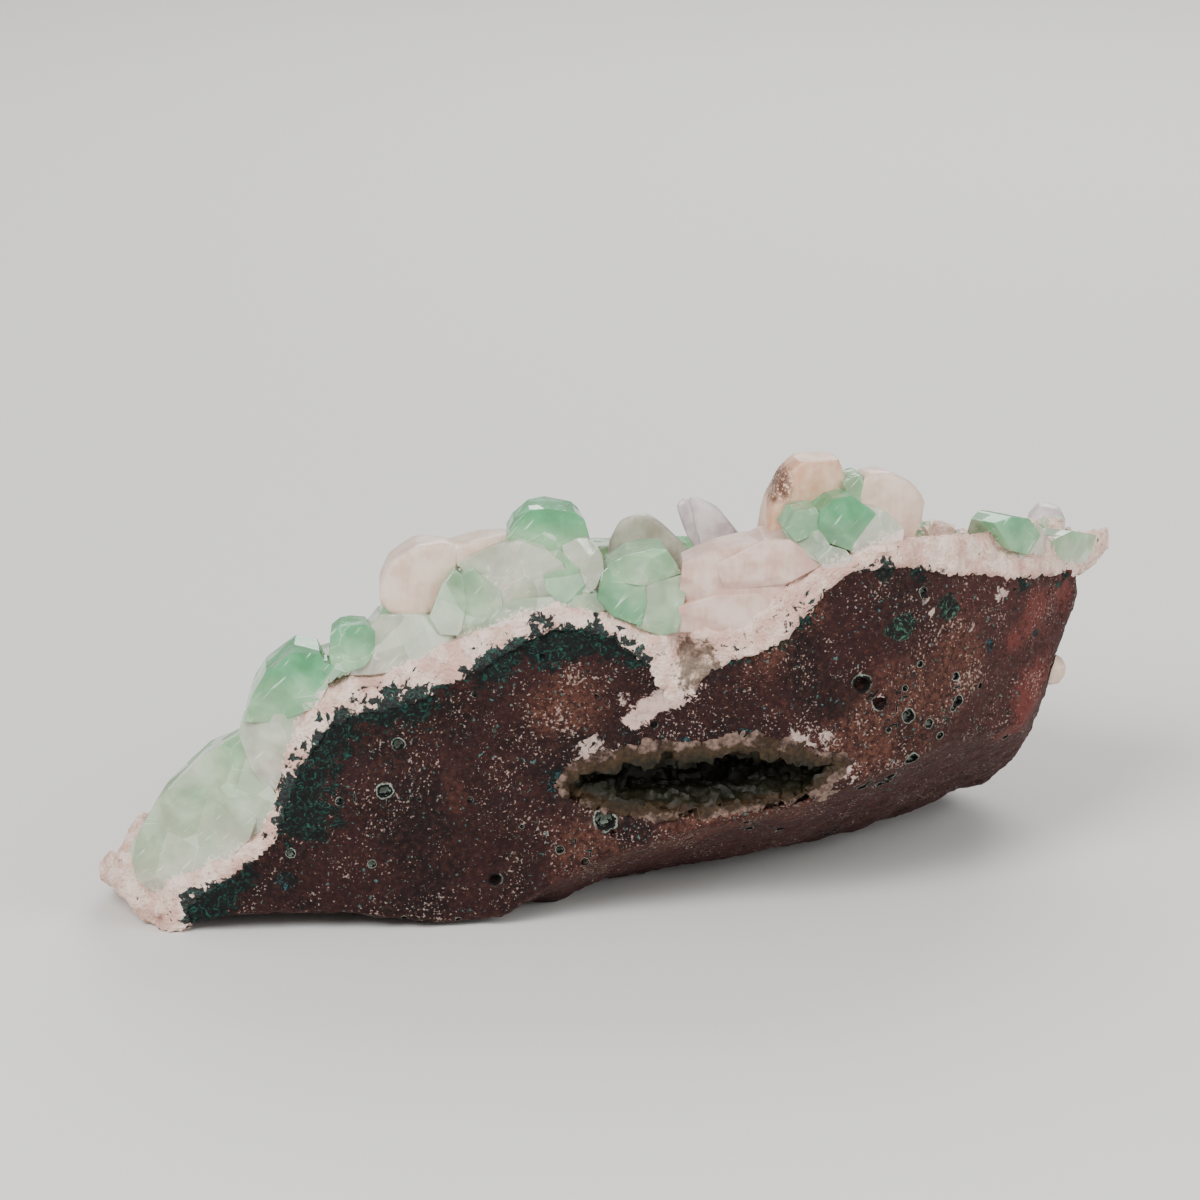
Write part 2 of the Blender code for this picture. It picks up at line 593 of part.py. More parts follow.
def druse_crystals(taken):
    """Small crystals scattered on the crust, clear of the large ones."""
    draw = random.Random(5)
    made = []
    while len(made) < DRUSE_COUNT:
        x = draw.uniform(-74.0, 78.0)
        share = draw.uniform(0.0, 1.0)
        size = draw.uniform(*DRUSE_SIZE)
        lean, roll = (draw.uniform(-DRUSE_TILT, DRUSE_TILT) for _ in range(2))
        turn = (lean, roll, draw.uniform(0, 90))
        low, high = along(FACE_Y, x) + DRUSE_APART, back_y(x) - DRUSE_APART
        y = low + (high - low) * share
        crowded = any(math.dist((x, y), at) < DRUSE_CLEAR for at in taken)
        crowded = crowded or any(math.dist((x, y), one.at[:2]) < DRUSE_APART for one in made)
        step = DRUSE_PROBE
        rise_x = crust_z(x + step, y) - crust_z(x - step, y)
        rise_y = crust_z(x, y + step) - crust_z(x, y - step)
        if crowded or max(abs(rise_x), abs(rise_y)) > DRUSE_STEEP:
            continue
        at = (x, y, crust_z(x, y) + 0.5 * size)
        made.append(Crystal("block", at, (size, size, size), turn, 0.0))
    return made


def make_crust(name, groups, rise=0.0, front_out=0.0, drop=0.0):
    xs = rows(BASALT_LEFT_X, BASALT_RIGHT_X, STEEP_X)
    left = [LEFT_TIP_X, *LEFT_TIP_ROWS, BASALT_LEFT_X - 2 * GAP]
    right = [*RIGHT_TIP_ROWS, RIGHT_TIP_X]
    mesh = loft([crust_ring(x, rise, front_out, drop) for x in left + xs + right])
    crust = new_object(name, mesh)
    taken = [one.at[:2] for group in groups.values() for one in group]
    for one in druse_crystals(taken):
        combine(crust, new_object("druse", shape(one, rise)), "UNION")
    return crust


def face_trimmer():
    """Everything in front of the broken face, so that it also breaks the crystals off."""
    rings = []
    for x in rows(LEFT_TIP_X - TRIM_MARGIN, RIGHT_TIP_X + TRIM_MARGIN):
        line = [(x, face_y(x, z) - TRIM_PROUD, z) for z in stretch(*TRIM_Z, TRIM_STEPS)]
        rings.append([(x, TRIM_Y, TRIM_Z[0]), *line, (x, TRIM_Y, TRIM_Z[1])])
    return new_object("trimmer", loft(rings))


def make_basalt():
    xs = rows(BASALT_LEFT_X, BASALT_RIGHT_X, STEEP_X)
    basalt = new_object("basalt_matrix", loft([basalt_ring(x) for x in xs]))
    combine(basalt, vug_form(0.0), "DIFFERENCE")
    for x, z, radius in FACE_VESICLES:
        y = face_y(x, z) + FACE_SEAT * radius
        combine(basalt, vesicle((x, y, z), radius), "DIFFERENCE")
    for x, z, radius in BACK_VESICLES:
        back = back_y(x)
        y = back + BACK_BULGE * (contact_z(x, back) - under_z(x, back)) - BACK_SEAT * radius
        combine(basalt, vesicle((x, y, z), radius), "DIFFERENCE")
    return basalt


def vesicle(at, radius):
    mesh = bmesh.new()
    bmesh.ops.create_icosphere(mesh, subdivisions=1, radius=radius * MM)
    bmesh.ops.translate(mesh, vec=Vector(at) * MM, verts=mesh.verts)
    return new_object("vesicle", mesh)


def vug_form(inset):
    """The long hollow, its wall moved in by inset and knobbled with crystals."""
    mesh = bmesh.new()
    bmesh.ops.create_icosphere(mesh, subdivisions=3, radius=1.0)
    hx, hy, hz = (h - inset for h in VUG_HALF)
    for vert in mesh.verts:
        x, y, z = vert.co
        size = 1.0 + VUG_UNEVEN * noise.noise(Vector((3.1 * x, 1.7 * y, 1.7 * z + 4.0)))
        if inset > GAP:
            size += VUG_KNOBBLE * noise.noise(Vector((9.0 * x, 5.0 * y, 5.0 * z + 9.0)))
        vert.co = Vector((x * hx, y * hy, z * hz)) * size * MM
    turn = Euler((0, math.radians(VUG_TILT), math.radians(VUG_TURN))).to_matrix().to_4x4()
    at = Vector((VUG_X, along(FACE_Y, VUG_X), VUG_Z)) * MM
    bmesh.ops.transform(mesh, matrix=Matrix.Translation(at) @ turn, verts=mesh.verts)
    return new_object("vug", mesh)


def make_lining(trimmer):
    """A bowl of small crystals on the wall of the vug."""
    lining = vug_form(GAP)
    lining.name = "vug_lining"
    combine(lining, vug_form(GAP + VUG_WALL), "DIFFERENCE")
    combine(lining, trimmer, "DIFFERENCE", keep=True)
    keep_largest(lining)
    return lining


def make_group(name, crystals, cutters, crust_cutter, trimmer):
    """Crystals grown together as one solid, trimmed by the crust, the face and earlier groups."""
    first, *others = crystals
    made = new_object(name, shape(first))
    for one in others:
        combine(made, new_object("next", shape(one)), "UNION")
    for cutter in cutters:
        if near(made, cutter):
            combine(made, cutter, "DIFFERENCE", keep=True)
    combine(made, crust_cutter, "DIFFERENCE", keep=True)
    combine(made, trimmer, "DIFFERENCE", keep=True)
    keep_largest(made)
    return made


def grown(crystals):
    return [new_object("cutter", shape(one, GAP)) for one in crystals]


def make_side_knob(basalt):
    """A pale knob on the side of the basalt, cut to it with a thin gap."""
    half = SIDE_KNOB_HALF
    made = new_object("side_knob", shape(crystal("nugget", SIDE_KNOB_AT, half, roll=20)))
    solid = basalt.copy()
    solid.data = basalt.data.copy()
    bpy.context.scene.collection.objects.link(solid)
    solid.location = (GAP * MM, -GAP * MM, 0.0)
    combine(made, solid, "DIFFERENCE")
    keep_largest(made)
    return made


def material(name):
    colour, roughness = MATERIALS[name]
    made = bpy.data.materials.new(name)
    made.use_nodes = True
    shader = made.node_tree.nodes["Principled BSDF"]
    shader.inputs["Base Color"].default_value = (*colour, 1.0)
    shader.inputs["Roughness"].default_value = roughness
    if name == "apophyllite":
        shader.inputs["IOR"].default_value = 1.535
        shader.inputs["Transmission Weight"].default_value = 0.6
    return made


def settle(objects):
    """Moves the whole piece so that its box is centred on the origin and stands on z = 0."""
    corners = [Vector(c) for one in objects for c in one.bound_box]
    low = [min(c[i] for c in corners) for i in range(3)]
    high = [max(c[i] for c in corners) for i in range(3)]
    shift = Vector((-(low[0] + high[0]) / 2, -(low[1] + high[1]) / 2, -low[2]))
    for one in objects:
        one.data.transform(Matrix.Translation(shift))


def main():
    for old in list(bpy.data.objects):
        bpy.data.objects.remove(old, do_unlink=True)
    groups = dict(FRONT_GROUPS)
    for name, crystals in BACK_GROUPS.items():
        groups[name] = [on_crust(one) for one in crystals]

    trimmer = face_trimmer()
    crust_cutter = make_crust("crust_cutter", groups, GAP, CUTTER_FRONT, CUTTER_DROP)
    pieces = [make_basalt(), make_crust("crust", groups), make_lining(trimmer)]
    slots = ["basalt", "crust", "vug"]
    cutters = []
    for name, crystals in groups.items():
        pieces.append(make_group(name, crystals, cutters, crust_cutter, trimmer))
        slots.append(name.split("_")[0])
        cutters += grown(crystals)
    pieces.append(make_side_knob(pieces[0]))
    slots.append("stilbite")

    for helper in [trimmer, crust_cutter, *cutters]:
        bpy.data.objects.remove(helper, do_unlink=True)
    for piece, slot in zip(pieces, slots):
        merge_flat_faces(piece)
        piece.data.materials.clear()
        piece.data.materials.append(material(slot))
    settle(pieces)


main()
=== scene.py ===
"""Looks of an apophyllite cluster on vesicular basalt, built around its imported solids.

Lengths are in millimetres until a mesh is made. +X runs along the broken face of the rock,
-Y is the side of the broken face, and +Z is up.
"""

import json
import logging
import math
import random
from dataclasses import dataclass, field
from enum import Enum
from typing import Any, ClassVar

import bpy
import numpy as np
from mathutils import Euler, Matrix, Vector, noise
from mathutils.bvhtree import BVHTree

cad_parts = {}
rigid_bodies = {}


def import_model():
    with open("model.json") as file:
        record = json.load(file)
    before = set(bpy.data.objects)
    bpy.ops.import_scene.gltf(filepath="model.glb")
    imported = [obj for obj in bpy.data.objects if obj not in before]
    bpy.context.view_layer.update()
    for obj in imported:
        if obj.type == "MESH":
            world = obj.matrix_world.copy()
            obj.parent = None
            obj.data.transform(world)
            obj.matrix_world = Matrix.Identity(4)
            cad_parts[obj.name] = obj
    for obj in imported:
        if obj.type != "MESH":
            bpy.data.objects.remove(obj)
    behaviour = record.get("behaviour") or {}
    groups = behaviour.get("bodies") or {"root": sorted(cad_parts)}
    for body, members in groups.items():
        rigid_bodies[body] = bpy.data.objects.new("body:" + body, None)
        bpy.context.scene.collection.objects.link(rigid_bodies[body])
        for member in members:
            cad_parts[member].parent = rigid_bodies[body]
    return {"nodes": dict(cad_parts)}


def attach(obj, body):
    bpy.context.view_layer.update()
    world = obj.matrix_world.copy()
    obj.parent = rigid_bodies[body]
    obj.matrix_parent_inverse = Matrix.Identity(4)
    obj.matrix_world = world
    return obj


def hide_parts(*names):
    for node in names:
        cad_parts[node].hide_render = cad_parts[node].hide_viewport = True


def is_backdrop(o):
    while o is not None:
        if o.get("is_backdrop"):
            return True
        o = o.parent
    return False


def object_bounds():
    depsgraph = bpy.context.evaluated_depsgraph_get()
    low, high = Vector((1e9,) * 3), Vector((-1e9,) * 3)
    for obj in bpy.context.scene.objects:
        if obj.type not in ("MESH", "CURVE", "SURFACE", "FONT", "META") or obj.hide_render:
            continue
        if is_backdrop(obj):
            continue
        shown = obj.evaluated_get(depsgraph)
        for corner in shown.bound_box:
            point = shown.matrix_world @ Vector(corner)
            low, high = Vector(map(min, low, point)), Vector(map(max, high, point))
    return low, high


LOG = logging.getLogger("apophyllite_cluster")
MM = 0.001
BODY = "root"

Pixels = list[tuple[float, float]]
Plane = tuple[Vector, Vector]


# Small tools


def linear(colour: str) -> tuple[float, float, float, float]:
    """Turns an sRGB hex colour to linear light.

    Args:
        colour: six hex digits after a hash sign.

    Returns:
        Linear red, green, blue and an alpha of 1.
    """
    parts = [int(colour[i : i + 2], 16) / 255 for i in (1, 3, 5)]
    light = [c / 12.92 if c <= 0.04045 else ((c + 0.055) / 1.055) ** 2.4 for c in parts]
    return (light[0], light[1], light[2], 1.0)


def connect(node: bpy.types.Node, inputs: dict[str | int, Any]) -> None:
    """Sets or links inputs of a node.

    Args:
        node: the node.
        inputs: by name or number, a value, an output socket to link or a hex colour.
    """
    for name, value in inputs.items():
        if isinstance(value, bpy.types.NodeSocket):
            node.id_data.links.new(value, node.inputs[name])
        else:
            node.inputs[name].default_value = linear(value) if isinstance(value, str) else value


def add(
    tree: bpy.types.NodeTree,
    kind: str,
    inputs: dict[str | int, Any] | None = None,
    out: str | int = 0,
    **settings: Any,
) -> bpy.types.NodeSocket:
    """Adds a shader node with its settings and links.

    Args:
        tree: the material's node tree.
        kind: the node's type, without ShaderNode.
        inputs: what its inputs are set or linked to.
        out: the output to return.
        settings: attributes of the node.

    Returns:
        The output socket.
    """
    node = tree.nodes.new(f"ShaderNode{kind}")
    for name, value in settings.items():
        setattr(node, name, value)
    connect(node, inputs or {})
    return node.outputs[out]


def only(piece: bpy.types.Object) -> None:
    """Selects one object and nothing else, and makes it active."""
    for other in bpy.context.view_layer.objects:
        other.select_set(False)
    piece.select_set(True)
    bpy.context.view_layer.objects.active = piece


def modify(piece: bpy.types.Object, kind: str, **settings: Any) -> None:
    """Adds a modifier with its settings and applies it.

    Args:
        piece: the object to change.
        kind: the modifier's type.
        settings: attributes of the modifier.
    """
    only(piece)
    step = piece.modifiers.new(kind.lower(), kind)
    for name, value in settings.items():
        setattr(step, name, value)
    bpy.ops.object.modifier_apply(modifier=step.name)


def roughen(
    piece: bpy.types.Object,
    name: str,
    size: float,
    height: float,
    kind: str = "CLOUDS",
    middle: float = 0.5,
    **settings: Any,
) -> None:
    """Displaces the skin of a piece by a procedural texture.

    Args:
        piece: the object to change.
        name: the texture's name.
        size: its grain in mm.
        height: from its lowest to its highest, in mm.
        kind: CLOUDS, VORONOI and so on.
        middle: the value that leaves the skin where it is.
        settings: more attributes of the texture.
    """
    made = bpy.data.textures.new(name, kind)
    made.noise_scale = size * MM
    for key, value in settings.items():
        setattr(made, key, value)
    modify(piece, "DISPLACE", texture=made, strength=height * MM, mid_level=middle,
           texture_coords="LOCAL")


def cut_off(point: Vector, normal: Vector) -> None:
    """Cuts off what lies past a plane in edit mode, and closes the cut.

    Args:
        point: a point of the plane in mm.
        normal: its outward normal.
    """
    bpy.ops.mesh.select_all(action="SELECT")
    bpy.ops.mesh.bisect(plane_co=point * MM, plane_no=normal, use_fill=True, clear_outer=True,
                        threshold=0.00001)


def merged_copy(node: str, name: str) -> bpy.types.Object:
    """Copies a solid of the frame and merges its loose triangles.

    Args:
        node: the solid's name.
        name: the name of the copy.

    Returns:
        The copy, with its place in its mesh.
    """
    piece = bpy.data.objects.new(name, FRAME["nodes"][node].data.copy())
    bpy.context.scene.collection.objects.link(piece)
    piece.data.materials.clear()
    only(piece)
    bpy.ops.object.mode_set(mode="EDIT")
    bpy.ops.mesh.select_all(action="SELECT")
    bpy.ops.mesh.remove_doubles(threshold=0.001 * MM)
    bpy.ops.mesh.normals_make_consistent(inside=False)
    bpy.ops.object.mode_set(mode="OBJECT")
    return piece


def joined(pieces: list[bpy.types.Object], name: str) -> bpy.types.Object:
    """Joins objects into one mesh whose object sits at the origin."""
    only(pieces[0])
    for piece in pieces:
        piece.select_set(True)
    bpy.ops.object.join()
    made = bpy.context.view_layer.objects.active
    made.name = name
    bpy.ops.object.transform_apply(location=True, rotation=True, scale=True)
    return made


def tree_of(*pieces: bpy.types.Object) -> BVHTree:
    """A search tree over the faces of some objects that sit at the origin."""
    points: list[Vector] = []
    faces: list[list[int]] = []
    for piece in pieces:
        start = len(points)
        points += [v.co.copy() for v in piece.data.vertices]
        faces += [[start + i for i in f.vertices] for f in piece.data.polygons]
    return BVHTree.FromPolygons(points, faces)


def points_of(piece: bpy.types.Object) -> np.ndarray:
    """The vertices of an object in mm."""
    flat = np.empty(3 * len(piece.data.vertices), dtype=np.float64)
    piece.data.vertices.foreach_get("co", flat)
    return flat.reshape(-1, 3) / MM


def move_points(piece: bpy.types.Object, points: np.ndarray) -> None:
    """Puts the vertices of an object at new places in mm."""
    piece.data.vertices.foreach_set("co", (points * MM).ravel())
    piece.data.update()


def normals_of(piece: bpy.types.Object) -> np.ndarray:
    """The normals of an object at its vertices."""
    flat = np.empty(3 * len(piece.data.vertices))
    piece.data.vertex_normals.foreach_get("vector", flat)
    return flat.reshape(-1, 3)


def rise_of(points: np.ndarray) -> np.ndarray:
    """How high each point is between the lowest, 0, and the highest, 1."""
    low, high = points[:, 2].min(), points[:, 2].max()
    return (points[:, 2] - low) / max(high - low, 0.1)


def uneven(points: np.ndarray, size: float) -> np.ndarray:
    """Smooth random values at some points, between -1 and 1, with a grain in mm."""
    return np.array([noise.noise(Vector(p) / size) for p in points])


def store(piece: bpy.types.Object, **fields: np.ndarray) -> None:
    """Keeps numbers or vectors at the vertices for the material to read.

    Args:
        piece: the object.
        fields: by attribute name, an array with a number or three for each vertex.
    """
    for name, values in fields.items():
        kind, key = ("FLOAT", "value") if values.ndim == 1 else ("FLOAT_VECTOR", "vector")
        kept = piece.data.attributes.new(name, kind, "POINT")
        kept.data.foreach_set(key, np.ascontiguousarray(values, dtype=np.float32).ravel())


def distances(points: np.ndarray, tree: BVHTree, reach: float) -> np.ndarray:
    """The distance in mm from each point to the nearest face, at most reach."""
    found = [tree.find_nearest(Vector(p) * MM, reach * MM)[3] for p in points]
    return np.array([reach if d is None else d / MM for d in found])


def swell(piece: bpy.types.Object, near: BVHTree, reach: float, amount: float) -> None:
    """Moves the skin of a piece outwards where it comes close to its neighbour.

    Args:
        piece: the object to change.
        near: the neighbour's faces.
        reach: how close, in mm.
        amount: the most that the skin moves, in mm.
    """
    points = points_of(piece)
    share = np.clip(1.0 - distances(points, near, reach) / reach, 0.0, 1.0)
    move_points(piece, points + normals_of(piece) * (amount * share)[:, None])


def smooth_by_angle(piece: bpy.types.Object, degrees: float) -> None:
    """Shades a piece smooth except across edges sharper than an angle."""
    only(piece)
    bpy.ops.object.shade_smooth_by_angle(angle=math.radians(degrees))


# Where a pixel of the photograph lies


@dataclass(frozen=True)
class Viewpoint:
    """The camera, and the places that it sees on the broken face.

    Elevation is in degrees, and the rest in mm. The scale is that of the plane through aim.
    """

    aim: tuple[float, float, float] = (-2.0, -0.74, 41.1)
    elevation: float = 16.0
    distance: float = 900.0
    scale: float = 0.166  # mm for each pixel
    middle: float = 600.0  # half the image, in pixels
    sensor: float = 36.0
    face: tuple[tuple[float, float], ...] = (
        (-83, -42.5), (-77, -49.5), (-62, -50.7), (-42, -49.7), (-22, -47.7), (-2, -46.2),
        (28, -43.7), (44, -39.7), (56, -31.7), (68, -19.7), (78, -5.7), (84, 4.3),
    )  # fmt: skip

    def face_y(self, x: float) -> float:
        """How far forward the broken face is at x."""
        return float(np.interp(x, [p[0] for p in self.face], [p[1] for p in self.face]))

    def slope(self, x: float) -> float:
        """The direction of the broken face at x, in radians from +X."""
        return math.atan2(self.face_y(x + 4.0) - self.face_y(x - 4.0), 8.0)

    def on_plane(self, u: float, v: float, y: float) -> tuple[float, float]:
        """The x and z in mm that a pixel shows at a given y."""
        rise, run = math.sin(math.radians(self.elevation)), math.cos(math.radians(self.elevation))
        deep = y - self.aim[1]
        up = (self.middle - v) * self.scale / self.distance
        z = (up * (self.distance + deep * run) - deep * rise) / (run + up * rise)
        far = self.distance + deep * run - z * rise
        x = (u - self.middle) * self.scale * far / self.distance
        return x + self.aim[0], z + self.aim[2]

    def on_face(self, u: float, v: float, back: float = 0.0) -> Vector:
        """The point that a pixel shows on the broken face.

        Args:
            u: pixels from the left.
            v: pixels from the top.
            back: how far behind the face, in mm.

        Returns:
            The point in mm.
        """
        x = (u - self.middle) * self.scale + self.aim[0]
        z = 0.0
        y = 0.0
        for _ in range(12):
            y = self.face_y(x) + back
            x, z = self.on_plane(u, v, y)
        return Vector((x, y, z))

    def camera(self) -> None:
        """Adds the camera."""
        data = bpy.data.cameras.new("camera")
        data.sensor_width = self.sensor
        data.lens = self.sensor * self.distance / (self.scale * 2 * self.middle)
        data.clip_start, data.clip_end = 0.05, 20.0
        made = bpy.data.objects.new("camera", data)
        tilt = math.radians(self.elevation)
        out = Vector((0.0, -math.cos(tilt), math.sin(tilt))) * self.distance
        made.location = (Vector(self.aim) + out) * MM
        made.rotation_euler = (math.pi / 2 - tilt, 0.0, 0.0)
        bpy.context.scene.collection.objects.link(made)
        bpy.context.scene.camera = made


VIEW = Viewpoint()
# What main() fills in for the pieces that follow: the solids' box, and surfaces by name
BOX: list[list[float]] = []
SURFACES: dict[str, BVHTree] = {}


@dataclass(frozen=True)
class Spot:
    """A spot on the broken face, at a pixel and with a radius in mm."""

    u: float
    v: float
    radius: float
    strength: float = 1.0

    def field(self, points: np.ndarray) -> np.ndarray:
        """Its strength at each point, falling to 0 at twice its radius."""
        at = np.array(VIEW.on_face(self.u, self.v))
        away = np.linalg.norm(points - at, axis=1) / self.radius
        return self.strength * np.clip(1.0 - away / 2.0, 0.0, 1.0)


def field_of(name: str, points: np.ndarray) -> np.ndarray:
    """The strongest of one kind of spots at each point."""
    return np.max([spot.field(points) for spot in SPOTS[name]], axis=0)


def line_field(route: Pixels, points: np.ndarray) -> np.ndarray:
    """The distance in mm from each point to a line drawn on the broken face."""
    ends = [np.array(VIEW.on_face(u, v)) for u, v in route]
    best = np.full(len(points), 1e3)
    for a, b in zip(ends, ends[1:]):
        run = b - a
        share = np.clip((points - a) @ run / (run @ run), 0.0, 1.0)
        best = np.minimum(best, np.linalg.norm(points - a - share[:, None] * run, axis=1))
    return best


# Finishes


class Slot(Enum):
    """The record's material slots."""

    BASALT = "basalt"
    CRUST = "crust"
    VUG = "vug"
    APOPHYLLITE = "apophyllite"
    STILBITE = "stilbite"


def new_material(name: str) -> tuple[bpy.types.Material, bpy.types.NodeTree, bpy.types.Node]:
    """A material with its node tree and its Principled shader."""
    made = bpy.data.materials.new(name)
    made.use_nodes = True
    tree = made.node_tree
    return made, tree, tree.nodes["Principled BSDF"]


def grain(size: float) -> float:
    """The scale of a noise node whose features are this many mm across."""
    return 1.0 / (size * MM)


@dataclass(frozen=True)
class Celadonite:
    """Celadonite at the contact of rock and crust: black to green blobs that end in fingers."""

    blob_mm: float
    roughness: float
    distortion: float
    gain: float
    shift: float
    onset: tuple[float, float, float]  # where it begins, where it is full, and its most
    shade_end: float
    black: str
    green: str = "#164a40"
    strand_mm: float = 1.3

    def layer(
        self, t: bpy.types.NodeTree, place: bpy.types.NodeSocket
    ) -> tuple[bpy.types.NodeSocket, ...]:
        """Adds its nodes.

        Args:
            t: the material's node tree.
            place: the position.

        Returns:
            Its mask, its colour, the blobs and the share of green.
        """
        blobs = add(t, "TexNoise", {"Vector": place, "Scale": grain(self.blob_mm), "Detail": 5.0,
                                    "Roughness": self.roughness, "Distortion": self.distortion})
        near = add(t, "Attribute", out="Fac", attribute_name="celadon")
        mask = add(t, "Math", {0: blobs, 1: self.gain, 2: self.shift}, operation="MULTIPLY_ADD")
        mask = add(t, "Math", {0: mask, 1: near}, operation="ADD")
        low, high, most = self.onset
        mask = add(t, "MapRange", {"Value": mask, "From Min": low, "From Max": high, "To Max": most})
        strands = add(t, "TexNoise", {"Vector": place, "Scale": grain(self.strand_mm),
                                      "Detail": 3.0, "Roughness": 0.6, "Distortion": 2.2})
        share = add(t, "MapRange", {"Value": strands, "From Min": 0.52, "From Max": self.shade_end})
        tone = add(t, "Mix", {0: share, 6: self.black, 7: self.green}, 2, data_type="RGBA")
        return mask, tone, blobs, share


@dataclass(frozen=True)
class BasaltFinish:
    """Vesicular basalt, broken: dull maroon, speckled with pale zeolite and teal celadonite."""

    dark: str = "#150708"
    light: str = "#281111"
    rust: str = "#3f1f15"
    granular: str = "#573429"
    turned: str = "#432522"
    red: str = "#6c342e"
    pore: str = "#120a0a"
    speck: str = "#a08d83"
    teal: str = "#466e6a"
    blue: str = "#2f5a60"
    ring: str = "#869488"
    # painted shade: the near-black middle of each vesicle pit
    pit_shade: str = "#0b0807"
    amygdale: str = "#3f6b58"
    vein: str = "#c3a69e"
    halo: str = "#745c53"
    rim: str = "#b59f97"
    worn_rim: str = "#6d544e"
    worn_vein: str = "#8c6d62"
    speck_mm: float = 0.42
    celadonite: Celadonite = Celadonite(1.7, 0.65, 0.8, 2.0, -1.22, (0.10, 0.20, 0.96), 0.68, "#060a09")
    slot: ClassVar[Slot] = Slot.BASALT

    def material(self) -> bpy.types.Material:
        """Builds the material."""
        made, t, shader = new_material("vesicular_basalt_broken")
        place = add(t, "TexCoord", out="Object")
        drawn = add(t, "Mapping", {"Vector": place, "Rotation": (0.0, 0.2, 0.0),
                                   "Scale": (0.22, 0.6, 1.0)})
        wide, fine, tiny, drawn = (
            add(t, "TexNoise", {"Vector": vector, "Scale": grain(size), "Detail": detail,
                                "Roughness": rough})
            for vector, size, detail, rough in (
                (place, 11.0, 3.0, 0.6), (place, 0.9, 4.0, 0.7), (place, self.speck_mm, 2.0, 0.5),
                (drawn, 0.9, 4.0, 0.65),
            )
        )  # fmt: skip
        cluster, dust = (
            add(t, "TexNoise", {"Vector": place, "W": w, "Scale": grain(size), "Detail": 3.0},
                noise_dimensions="4D")
            for w, size in ((7.0, 5.0), (3.0, 0.8))
        )  # fmt: skip
        turned, red, zone, pale = (
            add(t, "Attribute", out="Fac", attribute_name=name)
            for name in ("turned", "red", "granular", "pale")
        )
        celadon, mineral, blobs, share = self.celadonite.layer(t, place)
        fine_step, broken, pores, density, dust, some, rough = (
            add(t, "MapRange", {"Value": value, "From Min": start, "From Max": end,
                                "To Min": low, "To Max": high})
            for value, start, end, low, high in (
                (fine, 0.48, 0.70, 0.0, 0.65), (fine, 0.40, 0.62, 0.15, 1.0),
                (tiny, 0.40, 0.34, 0.0, 0.75), (cluster, 0.40, 0.66, 0.70, 0.57),
                (dust, 0.64, 0.70, 0.0, 0.7), (cluster, 0.42, 0.52, 0.0, 1.0),
                (fine, 0.3, 0.7, 0.92, 0.62),
            )
        )  # fmt: skip
        streaky = add(t, "Math", {0: drawn, 1: 3.0, 2: -1.5}, operation="MULTIPLY_ADD")
        streaky = add(t, "Math", {0: turned, 1: streaky}, operation="ADD", use_clamp=True)
        turned = add(t, "Math", {0: streaky, 1: turned}, operation="MULTIPLY")
        red = add(t, "Math", {0: wide, 1: 1.6, 2: red}, operation="MULTIPLY_ADD")
        red = add(t, "Math", {0: fine, 1: 1.0, 2: red}, operation="MULTIPLY_ADD")
        zone = add(t, "Math", {0: wide, 1: 0.9, 2: zone}, operation="MULTIPLY_ADD")
        wide_step, red, zone = (
            add(t, "MapRange", {"Value": value, "From Min": start, "From Max": end, "To Max": high},
                interpolation_type="SMOOTHSTEP")
            for value, start, end, high in (
                (wide, 0.36, 0.64, 1.0), (red, 1.55, 2.15, 0.65), (zone, 0.62, 1.0, 1.0),
            )
        )  # fmt: skip
        broken = add(t, "Math", {0: broken, 1: zone}, operation="MULTIPLY")
        # Pale grains, dense in some areas and sparse in others
        density = add(t, "Math", {0: zone, 1: -0.03, 2: density}, operation="MULTIPLY_ADD")
        speck = add(t, "Math", {0: tiny, 1: density}, operation="SUBTRACT")
        speck = add(t, "MapRange", {"Value": speck, "From Min": 0.0, "From Max": 0.05, "To Max": 0.7})
        # Vesicles: a pale ragged ring round a middle painted near black as the shade down in the pit
        offset = add(t, "Attribute", out="Vector", attribute_name="vesicle")
        away = add(t, "VectorMath", {0: offset}, "Value", operation="LENGTH")
        away = add(t, "Math", {0: fine, 1: 1.1, 2: away}, operation="MULTIPLY_ADD")
        inside = add(t, "Math", {0: away, 1: 1.62}, operation="LESS_THAN")
        ring = add(t, "MapRange", {"Value": away, "From Min": 1.84, "From Max": 1.76, "To Max": 0.75})
        ring = add(t, "Math", {0: ring, 1: some}, operation="MULTIPLY")
        layers = [
            (wide_step, self.light), (fine_step, self.rust), (turned, self.turned), (red, self.red),
            (broken, self.granular), (pores, self.pore), (speck, self.speck), (dust, self.teal),
            (ring, self.ring), (inside, self.pit_shade), (celadon, mineral),
        ]  # fmt: skip
        for name, tone in (("amygdale", self.amygdale), ("blue", self.blue)):
            spot = add(t, "Attribute", out="Fac", attribute_name=name)
            spot = add(t, "Math", {0: blobs, 1: 0.8, 2: spot}, operation="MULTIPLY_ADD")
            spot = add(t, "MapRange", {"Value": spot, "From Min": 0.86, "From Max": 0.94,
                                       "To Max": 0.9})
            layers.append((spot, add(t, "Mix", {0: share, 6: self.celadonite.black, 7: tone}, 2,
                                     data_type="RGBA")))
